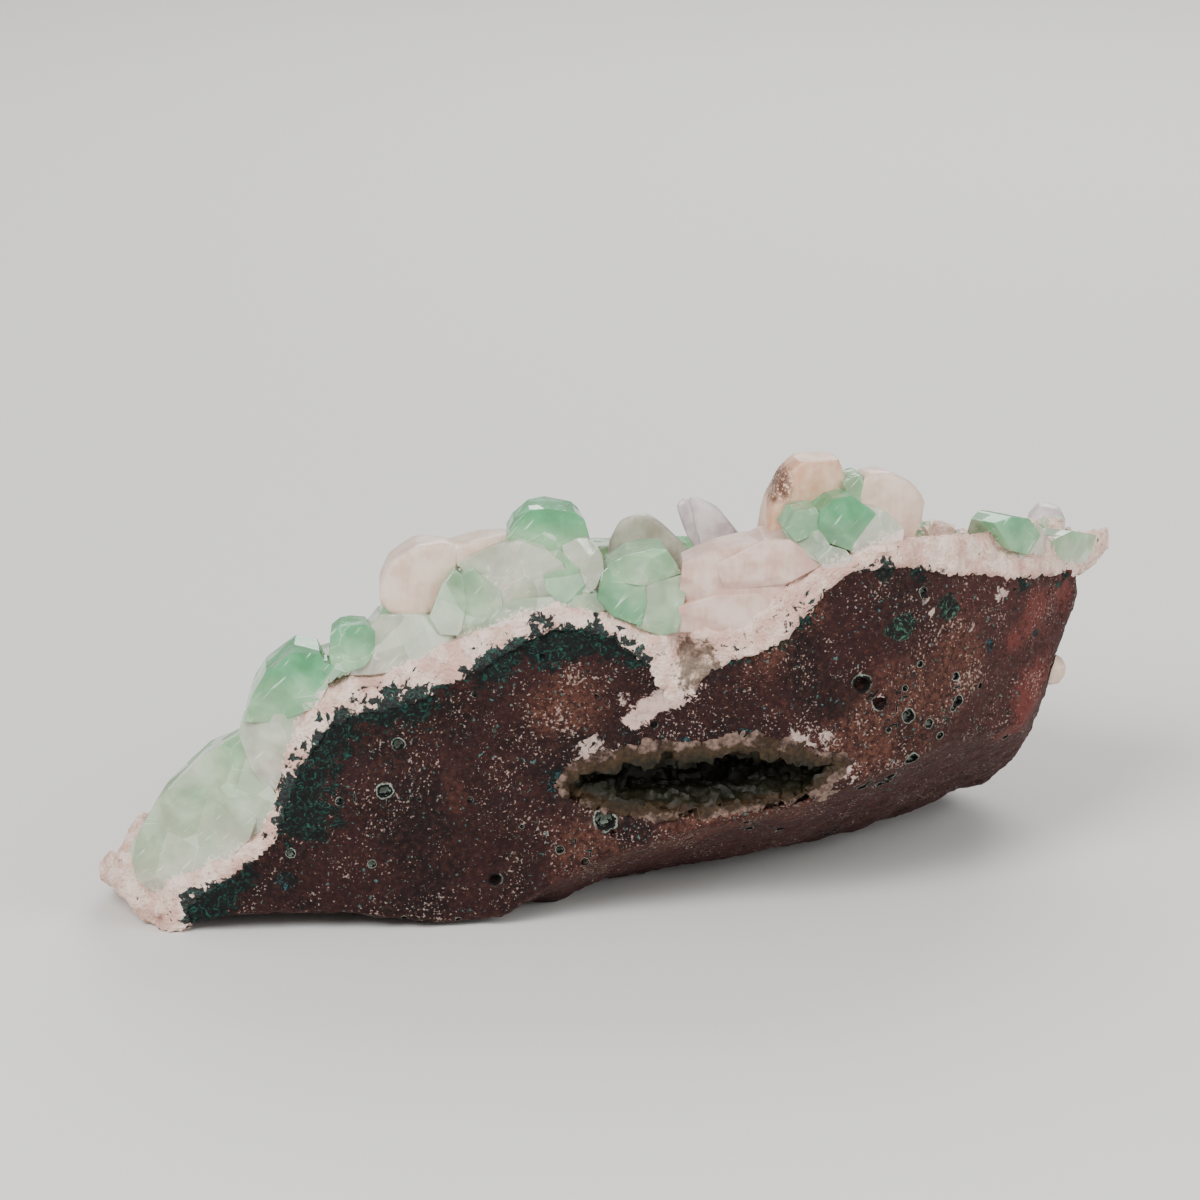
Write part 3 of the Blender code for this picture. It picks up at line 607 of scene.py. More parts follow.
        # Pale crust that follows the rim of the vug, and the branch of the white vein
        pale = add(t, "Math", {0: blobs, 1: 2.2, 2: pale}, operation="MULTIPLY_ADD")
        pale = add(t, "MapRange", {"Value": pale, "From Min": 1.62, "From Max": 1.74, "To Max": 0.9})
        layers.append((pale, add(t, "Mix", {0: fine_step, 6: self.rim, 7: self.worn_rim}, 2,
                                 data_type="RGBA")))
        ragged = add(t, "Math", {0: blobs, 1: 6.0, 2: -3.1}, operation="MULTIPLY_ADD")
        for name, tone, width in (("halo", self.halo, 0.8), ("vein", self.vein, 1.9)):
            edge = add(t, "Attribute", out="Fac", attribute_name=name)
            edge = add(t, "Math", {0: edge, 1: ragged}, operation="ADD")
            edge = add(t, "MapRange", {"Value": edge, "From Min": width, "From Max": width - 0.35})
            layers.append((edge, add(t, "Mix", {0: fine_step, 6: tone, 7: self.worn_vein}, 2,
                                     data_type="RGBA")))
        colour: Any = self.dark
        for mask, tone in layers:
            colour = add(t, "Mix", {0: mask, 6: colour, 7: tone}, 2, data_type="RGBA")
        height = add(t, "Math", {0: tiny, 1: 0.4, 2: fine}, operation="MULTIPLY_ADD")
        height = add(t, "Math", {0: inside, 1: -0.8, 2: height}, operation="MULTIPLY_ADD")
        bump = add(t, "Bump", {"Height": height, "Strength": 0.7, "Distance": 0.35 * MM})
        connect(shader, {"Base Color": colour, "Roughness": rough, "Specular IOR Level": 0.22,
                         "Normal": bump})
        return made


@dataclass(frozen=True)
class CrustFinish:
    """A crust of fine-grained zeolite, grown on the rock: pinkish white and sugary."""

    pale: str = "#ead0c2"
    pink: str = "#cfa495"
    grey: str = "#a8917f"
    pocket: str = "#8d7764"
    hollow: str = "#4b3a2c"
    grain_mm: float = 0.55
    celadonite: Celadonite = Celadonite(2.0, 0.62, 0.6, 3.2, -2.1, (0.04, 0.12, 1.0), 0.66, "#080c0b")
    slot: ClassVar[Slot] = Slot.CRUST

    def material(self) -> bpy.types.Material:
        """Builds the material."""
        made, t, shader = new_material("zeolite_crust_sugary")
        place = add(t, "TexCoord", out="Object")
        wide, sugar, spread = (
            add(t, "TexNoise", {"Vector": place, "Scale": grain(size), "Detail": detail,
                                "Roughness": rough})
            for size, detail, rough in ((4.5, 5.0, 0.7), (self.grain_mm, 3.0, 0.5), (2.2, 4.0, 0.6))
        )  # fmt: skip
        wide_step = add(t, "MapRange", {"Value": wide, "From Min": 0.38, "From Max": 0.62},
                        interpolation_type="SMOOTHSTEP")
        pocket = add(t, "Attribute", out="Fac", attribute_name="pocket")
        pocket = add(t, "Math", {0: spread, 1: 2.0, 2: pocket}, operation="MULTIPLY_ADD")
        grains, pocket, hollows, rough = (
            add(t, "MapRange", {"Value": value, "From Min": start, "From Max": end,
                                "To Min": low, "To Max": high})
            for value, start, end, low, high in (
                (sugar, 0.56, 0.72, 0.0, 0.55), (pocket, 1.30, 1.50, 0.0, 0.9),
                (spread, 0.44, 0.60, 0.0, 1.0), (sugar, 0.35, 0.7, 0.75, 0.40),
            )
        )  # fmt: skip
        brown = add(t, "Mix", {0: hollows, 6: self.pocket, 7: self.hollow}, 2, data_type="RGBA")
        celadon, mineral, _, _ = self.celadonite.layer(t, place)
        colour: Any = self.pale
        for mask, tone in (
            (wide_step, self.pink), (grains, self.grey), (pocket, brown), (celadon, mineral),
        ):  # fmt: skip
            colour = add(t, "Mix", {0: mask, 6: colour, 7: tone}, 2, data_type="RGBA")
        bump = add(t, "Bump", {"Height": sugar, "Strength": 0.9, "Distance": 0.6 * MM})
        connect(shader, {"Base Color": colour, "Roughness": rough, "Normal": bump})
        return made


@dataclass(frozen=True)
class VugFinish:
    """Small brown crystals on the wall of the vug, darker inwards: olive further in, then black, which
    is painted shade.
    """

    rim: str = "#6f5a50"
    worn: str = "#33201b"
    brown: str = "#352616"
    olive: str = "#1b190b"
    # painted shade: the black of the deepest part of the vug
    black: str = "#050402"
    slot: ClassVar[Slot] = Slot.VUG

    def material(self) -> bpy.types.Material:
        """Builds the material."""
        made, t, shader = new_material("drusy_crystals_stained_and_shaded")
        place = add(t, "TexCoord", out="Object")
        wide = add(t, "TexNoise", {"Vector": place, "Scale": grain(4.0), "Detail": 4.0,
                                   "Roughness": 0.65})
        fine = add(t, "TexNoise", {"Vector": place, "Scale": grain(0.7), "Detail": 3.0})
        deep = add(t, "Attribute", out="Fac", attribute_name="deep")
        mixed = add(t, "Math", {0: wide, 1: 8.0, 2: -4.0}, operation="MULTIPLY_ADD")
        mixed = add(t, "Math", {0: mixed, 1: deep}, operation="ADD")
        # deep_shade is where the deep wall is painted black as shade
        worn, first, second, deep_shade, shade = (
            add(t, "MapRange", {"Value": value, "From Min": start, "From Max": end,
                                "To Min": low, "To Max": high})
            for value, start, end, low, high in (
                (wide, 0.46, 0.56, 0.0, 1.0), (mixed, 0.2, 1.1, 0.0, 1.0),
                (mixed, 2.4, 5.4, 0.0, 1.0), (mixed, 7.0, 13.0, 0.0, 1.0),
                (fine, 0.35, 0.65, 0.55, 1.25),
            )
        )  # fmt: skip
        colour: Any = self.rim
        for mask, tone in (
            (worn, self.worn), (first, self.brown), (second, self.olive), (deep_shade, self.black),
        ):  # fmt: skip
            colour = add(t, "Mix", {0: mask, 6: colour, 7: tone}, 2, data_type="RGBA")
        colour = add(t, "Mix", {0: 1.0, 6: colour, 7: shade}, 2, data_type="RGBA",
                     blend_type="MULTIPLY")
        bump = add(t, "Bump", {"Height": fine, "Strength": 0.4, "Distance": 0.3 * MM})
        connect(shader, {"Base Color": colour, "Roughness": 0.55, "Specular IOR Level": 0.25,
                         "Normal": bump})
        return made


@dataclass(frozen=True)
class ApophylliteFinish:
    """Apophyllite, natural faces and breaks: glassy, milky white to mint, clouded inside."""

    name: str = "apophyllite_glassy"
    milky: str = "#ece8d8"
    mint: str = "#b4deb0"
    deep: str = "#64c088"
    # the white of the cracks and the haze, and also of the painted glints
    crack: str = "#f0f5ea"
    foot: str = "#e2cdc3"
    inner: str = "#c2e8c4"
    domain_mm: float = 6.5
    scratch_mm: float = 0.5
    clear: float = 0.62  # most transmission
    haze: float = 0.38  # least
    ior: float = 1.535
    absorption: float = 30.0
    slot: ClassVar[Slot] = Slot.APOPHYLLITE

    def material(self) -> bpy.types.Material:
        """Builds the material."""
        made, t, shader = new_material(self.name)
        place = add(t, "TexCoord", out="Object")
        # Fine cleavage lines run one way
        slanted = add(t, "Mapping", {"Vector": place, "Rotation": (0.0, -0.8, 0.3),
                                     "Scale": (13.0, 3.0, 1.0)}, vector_type="TEXTURE")
        wide, veil, fine, scratch = (
            add(t, "TexNoise", {"Vector": vector, "Scale": grain(size), "Detail": detail,
                                "Distortion": bent})
            for vector, size, detail, bent in (
                (place, 7.0, 2.0, 0.0), (place, 5.0, 4.0, 0.4), (place, 0.7, 3.0, 0.0),
                (slanted, self.scratch_mm, 2.0, 0.0),
            )
        )  # fmt: skip
        tint, root = (
            add(t, "Attribute", out="Fac", attribute_name=name) for name in ("tint", "root")
        )
        # Large domains inside a crystal, each with a slightly different depth of colour
        domains = {"Vector": place, "Scale": grain(self.domain_mm)}
        cell = add(t, "TexVoronoi", domains, "Color")
        gap = add(t, "TexVoronoi", domains, "Distance", feature="DISTANCE_TO_EDGE")
        depth = add(t, "SeparateColor", {"Color": cell})
        amount = add(t, "Math", {0: wide, 1: 0.6, 2: -0.3}, operation="MULTIPLY_ADD")
        amount = add(t, "Math", {0: amount, 1: tint}, operation="ADD")
        amount = add(t, "Math", {0: depth, 1: 0.14, 2: amount}, operation="MULTIPLY_ADD",
                     use_clamp=True)
        # Painted glints: some inner breaks are painted as pale planes, as if they caught the light
        mint, deep, thin, broken, scratch, painted_glint, haze, clear, rough = (
            add(t, "MapRange", {"Value": value, "From Min": start, "From Max": end,
                                "To Min": low, "To Max": high})
            for value, start, end, low, high in (
                (amount, 0.05, 0.60, 0.0, 1.0), (amount, 0.55, 1.05, 0.0, 1.0),
                (gap, 0.010, 0.004, 0.0, 1.0), (veil, 0.52, 0.60, 0.0, 0.4),
                (scratch, 0.66, 0.73, 0.0, 0.5), (depth.node.outputs[1], 0.70, 0.74, 0.0, 0.26),
                (veil, 0.50, 0.76, 0.0, 0.14), (veil, 0.36, 0.66, self.clear, self.haze),
                (veil, 0.3, 0.7, 0.07, 0.18),
            )
        )  # fmt: skip
        crack = add(t, "Math", {0: thin, 1: broken}, operation="MULTIPLY")
        crack = add(t, "Math", {0: crack, 1: scratch}, operation="MAXIMUM")
        # The foot of a crystal is cloudy and passes into the crust
        grown = add(t, "Math", {0: fine, 1: -4.0, 2: 2.0}, operation="MULTIPLY_ADD")
        grown = add(t, "Math", {0: grown, 1: root}, operation="ADD")
        grown = add(t, "MapRange", {"Value": grown, "From Min": 1.8, "From Max": 0.3},
                    interpolation_type="SMOOTHSTEP")
        colour: Any = self.milky
        for mask, tone in (
            (mint, self.mint), (deep, self.deep), (crack, self.crack), (painted_glint, self.crack),
            (haze, self.crack), (grown, self.foot),
        ):  # fmt: skip
            colour = add(t, "Mix", {0: mask, 6: colour, 7: tone}, 2, data_type="RGBA")
        solid = add(t, "Math", {0: crack, 1: painted_glint}, operation="MAXIMUM")
        solid = add(t, "Math", {0: grown, 1: solid}, operation="MAXIMUM")
        solid = add(t, "Math", {0: 1.0, 1: solid}, operation="SUBTRACT")
        clear = add(t, "Math", {0: clear, 1: solid}, operation="MULTIPLY")
        rough = add(t, "Math", {0: grown, 1: 0.4, 2: rough}, operation="MULTIPLY_ADD")
        # Each domain leans a little, as a stepped break does
        lean = add(t, "VectorMath", {0: cell, 1: (0.5, 0.5, 0.5)}, operation="SUBTRACT")
        lean = add(t, "VectorMath", {0: lean, "Scale": 0.30}, operation="SCALE")
        normal = add(t, "NewGeometry", out="Normal")
        normal = add(t, "VectorMath", {0: normal, 1: lean}, operation="ADD")
        normal = add(t, "VectorMath", {0: normal}, operation="NORMALIZE")
        relief = add(t, "Math", {0: fine, 1: grown}, operation="MULTIPLY")
        relief = add(t, "Math", {0: veil, 1: 0.15, 2: relief}, operation="MULTIPLY_ADD")
        bump = add(t, "Bump", {"Height": relief, "Strength": 0.45, "Distance": 0.35 * MM,
                               "Normal": normal})
        connect(shader, {"Base Color": colour, "Transmission Weight": clear, "Roughness": rough,
                         "IOR": self.ior, "Normal": bump})
        body = add(t, "VolumeAbsorption", {"Color": self.inner, "Density": self.absorption})
        connect(t.nodes["Material Output"], {"Volume": body})
        return made


@dataclass(frozen=True)
class StilbiteFinish:
    """Stilbite, natural blades: pearly, cream to pink, with fine lines along the blade."""

    name: str = "stilbite_pearly_cream"
    pale: str = "#f1dac8"
    tone: str = "#dcbca6"
    stain: str = "#5d3220"
    stained: bool = False
    line_mm: float = 0.7
    clear: float = 0.18
    ior: float = 1.50
    slot: ClassVar[Slot] = Slot.STILBITE

    def material(self) -> bpy.types.Material:
        """Builds the material."""
        made, t, shader = new_material(self.name)
        place = add(t, "TexCoord", out="Object")
        blade = add(t, "Attribute", out="Vector", attribute_name="blade")
        stretch = add(t, "Mapping", {"Vector": blade, "Scale": (1.0, 1.0, 0.12)})
        lines, wide, fine = (
            add(t, "TexNoise", {"Vector": vector, "Scale": grain(size), "Detail": detail,
                                "Roughness": rough})
            for vector, size, detail, rough in (
                (stretch, self.line_mm, 3.0, 0.55), (place, 4.5, 4.0, 0.6), (place, 0.6, 3.0, 0.5),
            )
        )  # fmt: skip
        amount = add(t, "Math", {0: lines, 1: 0.22, 2: -0.11}, operation="MULTIPLY_ADD")
        amount = add(t, "Math", {0: amount, 1: wide}, operation="ADD")
        amount = add(t, "MapRange", {"Value": amount, "From Min": 0.34, "From Max": 0.68},
                     interpolation_type="SMOOTHSTEP")
        colour = add(t, "Mix", {0: amount, 6: self.pale, 7: self.tone}, 2, data_type="RGBA")
        if self.stained:
            # Iron stain down the left edge of the blade
            side = add(t, "SeparateXYZ", {"Vector": blade})
            edge = add(t, "Math", {0: fine, 1: 0.006, 2: -0.003}, operation="MULTIPLY_ADD")
            edge = add(t, "Math", {0: edge, 1: side}, operation="ADD")
            above = add(t, "Math", {0: wide, 1: 0.008, 2: side.node.outputs[2]},
                        operation="MULTIPLY_ADD")
            mask, above, spotted = (
                add(t, "MapRange", {"Value": value, "From Min": start, "From Max": end,
                                    "To Max": high})
                for value, start, end, high in (
                    (edge, -2.6 * MM, -3.6 * MM, 0.95), (above, 2.5 * MM, 4.5 * MM, 1.0),
                    (fine, 0.36, 0.46, 1.0),
                )
            )  # fmt: skip
            mask = add(t, "Math", {0: mask, 1: above}, operation="MULTIPLY")
            mask = add(t, "Math", {0: mask, 1: spotted}, operation="MULTIPLY")
            colour = add(t, "Mix", {0: mask, 6: colour, 7: self.stain}, 2, data_type="RGBA")
        rough = add(t, "MapRange", {"Value": wide, "From Min": 0.3, "From Max": 0.7,
                                    "To Min": 0.28, "To Max": 0.48})
        height = add(t, "Math", {0: fine, 1: 0.25, 2: lines}, operation="MULTIPLY_ADD")
        bump = add(t, "Bump", {"Height": height, "Strength": 0.35, "Distance": 0.25 * MM})
        connect(shader, {"Base Color": colour, "Roughness": rough, "IOR": self.ior,
                         "Transmission Weight": self.clear, "Coat Weight": 0.15,
                         "Coat Roughness": 0.25, "Normal": bump})
        return made


Finish = BasaltFinish | CrustFinish | VugFinish | ApophylliteFinish | StilbiteFinish


def hand_over(piece: bpy.types.Object, finish: Finish, *nodes: str) -> bpy.types.Object:
    """Dresses a piece, fixes it to the body and hides the solids that it stands for.

    Args:
        piece: the finished mesh.
        finish: its finish, with the record's slot.
        nodes: the solids that it replaces.

    Returns:
        The piece.
    """
    piece.data.materials.clear()
    piece.data.materials.append(finish.material())
    move_points(piece, np.clip(points_of(piece), np.array(BOX[0]) / MM, np.array(BOX[1]) / MM))
    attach(piece, BODY)
    if nodes:
        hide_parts(*nodes)
    LOG.info("%s: %d faces", piece.name, len(piece.data.polygons))
    return piece


# Rock and crust

# Spots by kind: pixels from the left and the top, a radius in mm and a strength
SPOTS = {
    name: [Spot(*row) for row in rows]
    for name, rows in {
        "celadon": [
            (196, 908, 3.4), (222, 892, 2.6), (246, 876, 1.6, 0.8), (300, 806, 4.6),
            (292, 782, 3.6), (322, 745, 3.6, 0.9), (338, 724, 3.0), (384, 694, 4.2),
            (412, 692, 3.8), (398, 672, 2.2), (378, 668, 1.8), (488, 667, 2.6), (500, 660, 2.2),
            (436, 668, 1.6), (462, 672, 1.3), (522, 636, 2.4, 0.9), (536, 622, 2.2),
            (512, 650, 2.0, 0.9), (548, 646, 2.8), (566, 636, 3.0), (590, 634, 2.8),
            (612, 642, 2.6), (634, 652, 2.0), (652, 656, 1.8, 0.8), (735, 652, 1.8, 0.7),
            (770, 640, 2.0, 0.7), (790, 612, 2.6, 0.75), (806, 588, 1.8, 0.7),
            (884, 568, 1.8, 0.75), (920, 572, 1.6, 0.6), (1020, 582, 1.8, 0.6),
            (1060, 574, 1.8, 0.6),
        ],
        "amygdale": [
            (903, 626, 2.4), (892, 630, 1.4), (948, 608, 2.2),
        ],
        "blue": [
            (553, 786, 1.1), (556, 774, 1.2), (286, 880, 1.8, 0.9), (685, 741, 0.9),
            (744, 734, 1.0), (756, 735, 1.0), (988, 646, 1.4, 0.8), (1036, 634, 1.2, 0.8),
        ],
        "granular": [
            (568, 714, 5.0, 0.7), (770, 640, 5.0, 0.6), (800, 610, 3.5, 0.6), (600, 846, 6.0, 0.6),
            (700, 838, 7.0, 0.7), (790, 812, 7.0, 0.7), (868, 742, 6.0, 0.8), (920, 700, 6.5, 0.8),
            (955, 660, 5.0, 0.8), (452, 790, 4.0, 0.3), (380, 760, 4.0, 0.25),
        ],
        "red": [
            (1036, 612, 4.5), (1060, 590, 3.5), (1014, 640, 2.5, 0.8), (1030, 706, 5.0),
            (1018, 740, 5.0), (1040, 680, 3.5), (960, 600, 2.5, 0.4),
        ],
        "pale": [
            (842, 768, 2.4), (826, 776, 1.6), (590, 752, 2.2), (612, 762, 2.4),
            (640, 756, 1.6, 0.9), (800, 742, 2.0, 0.9), (822, 736, 1.6, 0.9), (930, 612, 0.9),
            (926, 600, 0.7), (970, 626, 0.8), (1000, 594, 1.4), (790, 800, 1.3, 0.8),
            (660, 694, 1.2, 0.8), (624, 700, 1.4, 0.8), (880, 700, 1.2, 0.8),
        ],
        "pocket": [
            (697, 664, 2.9), (706, 682, 2.0), (688, 652, 1.8),
        ],
    }.items()
}  # fmt: skip
PITS = [
    Spot(*row) for row in (
        (385, 790, 1.1), (398, 745, 0.9), (495, 880, 1.0), (862, 685, 1.4), (880, 703, 1.1),
        (905, 688, 0.5), (908, 715, 1.0), (893, 786, 0.9), (880, 798, 0.8), (912, 760, 1.1),
        (605, 820, 1.6), (648, 640, 0.9), (925, 600, 0.5), (958, 700, 0.8), (940, 735, 0.6),
        (372, 864, 0.6), (585, 862, 0.6), (470, 800, 0.5), (560, 850, 0.6), (340, 800, 0.6),
    )
]  # fmt: skip
VEIN_ROUTE = [(692, 676), (672, 700), (652, 706), (634, 722)]
# Where the crust behind lies a little lower: a point, a radius and a drop in mm
DIPS = [((-68.0, 8.0, 14.0), 11.0, 3.4), ((-81.5, -30.0, 9.0), 10.0, 4.6)]


def dips(points: np.ndarray) -> np.ndarray:
    """How far rock and crust are lowered at each point, in mm."""
    total = np.zeros(len(points))
    for at, radius, drop in DIPS:
        away = np.linalg.norm(points - np.array(at), axis=1) / radius
        total += drop * np.clip(1.2 - away, 0.0, 1.0)
    return total


# How wide the crust shows below the crystals, (x, width) in mm
RIM_WIDTH = [
    (-80, 7.0), (-74, 5.0), (-68.8, 4.0), (-60.8, 2.6), (-52.9, 1.6), (-49.7, 3.6), (-44.9, 6.0),
    (-37, 5.0), (-29, 6.0), (-21.1, 5.4), (-13.1, 3.6), (-8.4, 3.4), (-2, 2.4), (4.4, 2.6),
    (12.3, 6.5), (20.3, 5.0), (26.6, 4.2), (31.4, 4.0), (35.4, 2.4), (41.1, 3.4), (46, 6.0),
    (54, 7.0), (60, 3.4), (70, 2.2), (79, 1.0),
]  # fmt: skip


def rim_width(points: np.ndarray) -> np.ndarray:
    """How wide the crust shows below the crystals at each point, in mm."""
    wide = np.interp(points[:, 0], [p[0] for p in RIM_WIDTH], [p[1] for p in RIM_WIDTH])
    return wide * (1.0 + 0.35 * uneven(points, 2.6))


@dataclass
class BasaltMatrix:
    """The rock: the solid, roughened, pitted with vesicles, and coloured by zones."""

    voxel: float = 0.85
    growth: float = 0.1
    scattered: int = 150
    scattered_radii: tuple[float, float] = (0.3, 0.8)
    sunk: float = 0.2  # how deep a vesicle's middle lies, in radii
    seed: int = 11
    vesicles: list[tuple[tuple[float, float, float], float]] = field(default_factory=list)

    def build(self) -> bpy.types.Object:
        """Makes and dresses the rock."""
        rock = merged_copy("basalt_matrix", "basalt_rock")
        modify(rock, "REMESH", mode="VOXEL", voxel_size=self.voxel * MM)
        modify(rock, "SMOOTH", factor=0.5, iterations=3)
        modify(rock, "DISPLACE", strength=self.growth * MM, mid_level=0.0)
        roughen(rock, "rock_lumps", 7.0, 0.9)
        roughen(rock, "rock_grit", 1.6, 0.75, noise_depth=3)
        swell(rock, tree_of(FRAME["nodes"]["crust"]), 1.6, 0.55)
        points = points_of(rock)
        points[:, 2] -= dips(points)
        move_points(rock, points)
        self.sink_pits(rock)
        self.mark_zones(rock)
        smooth_by_angle(rock, 50.0)
        return hand_over(rock, BasaltFinish(), "basalt_matrix")

    def sink_pits(self, rock: bpy.types.Object) -> None:
        """Cuts the vesicles, the seen ones at their places and others at random.

        Args:
            rock: the rock.
        """
        draw = random.Random(self.seed)
        tree = tree_of(rock)
        spots: list[tuple[Vector, Vector, float]] = []
        for pit in PITS:
            aim = VIEW.on_face(pit.u, pit.v)
            hit, normal, _, _ = tree.ray_cast(Vector((aim.x, -90.0, aim.z)) * MM, Vector((0, 1, 0)))
            if hit is not None:
                spots.append((hit, normal, pit.radius))
        faces = rock.data.polygons
        while len(spots) < len(PITS) + self.scattered:
            face = faces[draw.randrange(len(faces))]
            if face.normal.z < 0.75:
                radius = draw.uniform(*self.scattered_radii)
                spots.append((face.center.copy(), face.normal.copy(), radius))
        self.vesicles = [(tuple(at / MM), radius) for at, _, radius in spots]
        bpy.ops.mesh.primitive_ico_sphere_add(subdivisions=2, radius=MM)
        ball = bpy.context.object
        cutters = []
        for at, normal, radius in spots:
            cutter = ball.copy()
            cutter.data = ball.data.copy()
            bpy.context.scene.collection.objects.link(cutter)
            squash = Matrix.Diagonal((radius, radius * draw.uniform(0.7, 1.0), radius, 1.0))
            turn = normal.to_track_quat("Z", "Y").to_matrix().to_4x4()
            middle = at - normal * self.sunk * radius * MM
            cutter.matrix_world = Matrix.Translation(middle) @ turn @ squash
            cutters.append(cutter)
        bpy.data.objects.remove(ball, do_unlink=True)
        cutter = joined(cutters, "pit_cutter")
        modify(rock, "BOOLEAN", operation="DIFFERENCE", solver="EXACT", object=cutter,
               use_self=True)
        bpy.data.objects.remove(cutter, do_unlink=True)

    def mark_zones(self, rock: bpy.types.Object) -> None:
        """Stores where each mineral shows.

        Args:
            rock: the rock.
        """
        points = points_of(rock)
        crust = distances(points, tree_of(FRAME["nodes"]["crust"]), 8.0)
        lining = distances(points, tree_of(FRAME["nodes"]["vug_lining"]), 8.0)
        near = np.clip(1.0 - crust / 2.2, 0.0, 1.0)
        celadon = np.maximum(1.1 * field_of("celadon", points), 0.14 * near)
        middles = np.array([spot[0] for spot in self.vesicles])
        radii = np.array([spot[1] for spot in self.vesicles])
        offsets = np.empty_like(points)
        for i, point in enumerate(points):
            off = point - middles
            best = int(np.argmin(np.einsum("ij,ij->i", off, off) / radii**2))
            offsets[i] = off[best] / radii[best]
        turned = np.clip(-normals_of(rock)[:, 2] * 1.6 - 0.1, 0.0, 1.0)
        turned = np.maximum(turned, np.clip((points[:, 0] - 36.0) / 26.0, 0.0, 1.0))
        store(rock, celadon=celadon, halo=lining + 0.8, vein=line_field(VEIN_ROUTE, points),
              vesicle=offsets, turned=0.85 * turned)
        for name in ("amygdale", "blue", "granular", "pale", "red"):
            store(rock, **{name: field_of(name, points)})


@dataclass
class Crust:
    """The pale crust over the rock, with the fingers of celadonite in its rim."""

    voxel: float = 0.75
    growth: float = 0.45  # closes the seam to the rock
    recess: float = 2.4  # behind the crystals of the front row
    pocket: float = 1.8  # the depth of the brown hollow

    def build(self) -> bpy.types.Object:
        """Makes and dresses the crust."""
        crust = merged_copy("crust", "crust_sugary")
        modify(crust, "REMESH", mode="VOXEL", voxel_size=self.voxel * MM)
        modify(crust, "SMOOTH", factor=0.5, iterations=2)
        modify(crust, "DISPLACE", strength=self.growth * MM, mid_level=0.0)
        roughen(crust, "crust_lumps", 4.0, 1.2)
        roughen(crust, "crust_grit", 1.0, 1.2, noise_depth=3)
        swell(crust, SURFACES["rock"], 1.6, 0.7)
        points = points_of(crust)
        rock = distances(points, SURFACES["rock"], 12.0)
        # Above its rim, the crust steps back behind the crystals of the front row
        front = np.array([VIEW.face_y(x) for x in points[:, 0]])
        at_face = np.clip(1.6 - (points[:, 1] - front) / 2.5, 0.0, 1.0)
        step = np.clip((rock - rim_width(points)) / 0.8, 0.0, 1.0) * at_face
        points[:, 1] += self.recess * step
        points[:, 1] += self.pocket * np.clip(2.0 * field_of("pocket", points) - 0.5, 0.0, 1.0)
        points[:, 2] -= dips(points)
        move_points(crust, points)
        reach = np.clip(1.15 - rock / 5.5, 0.0, 1.0)
        celadon = field_of("celadon", points) * 1.1 * reach
        celadon += 0.25 * np.clip(1.0 - rock / 1.2, 0.0, 1.0)
        store(crust, celadon=celadon, pocket=field_of("pocket", points))
        smooth_by_angle(crust, 50.0)
        return hand_over(crust, CrustFinish(), "crust")


@dataclass
class VugLining:
    """The crust of small crystals in the vug."""

    voxel: float = 0.5

    def build(self) -> bpy.types.Object:
        """Makes and dresses the lining."""
        lining = merged_copy("vug_lining", "vug_crystals")
        modify(lining, "REMESH", mode="VOXEL", voxel_size=self.voxel * MM)
        roughen(lining, "vug_shelves", 8.0, 5.5)
        roughen(lining, "vug_bulges", 3.5, 4.5, middle=0.42, noise_depth=2)
        roughen(lining, "vug_lumps", 1.8, -1.4, "VORONOI", 0.3, distance_metric="DISTANCE")
        swell(lining, SURFACES["rock"], 1.5, 0.9)
        points = points_of(lining)
        front = np.array([VIEW.face_y(x) for x in points[:, 0]])
        points[:, 1] = np.maximum(points[:, 1], front + 0.1 + 0.5 * uneven(points, 1.1))
        move_points(lining, points)
        rock = distances(points, SURFACES["rock"], 4.0)
        # deep grows with depth into the vug; the finish paints the deepest parts black as shade
        store(lining, deep=points[:, 1] - front + 2.2 * np.clip(rock - 0.5, 0.0, 4.0))
        smooth_by_angle(lining, 35.0)
        return hand_over(lining, VugFinish(), "vug_lining")


# Crystals


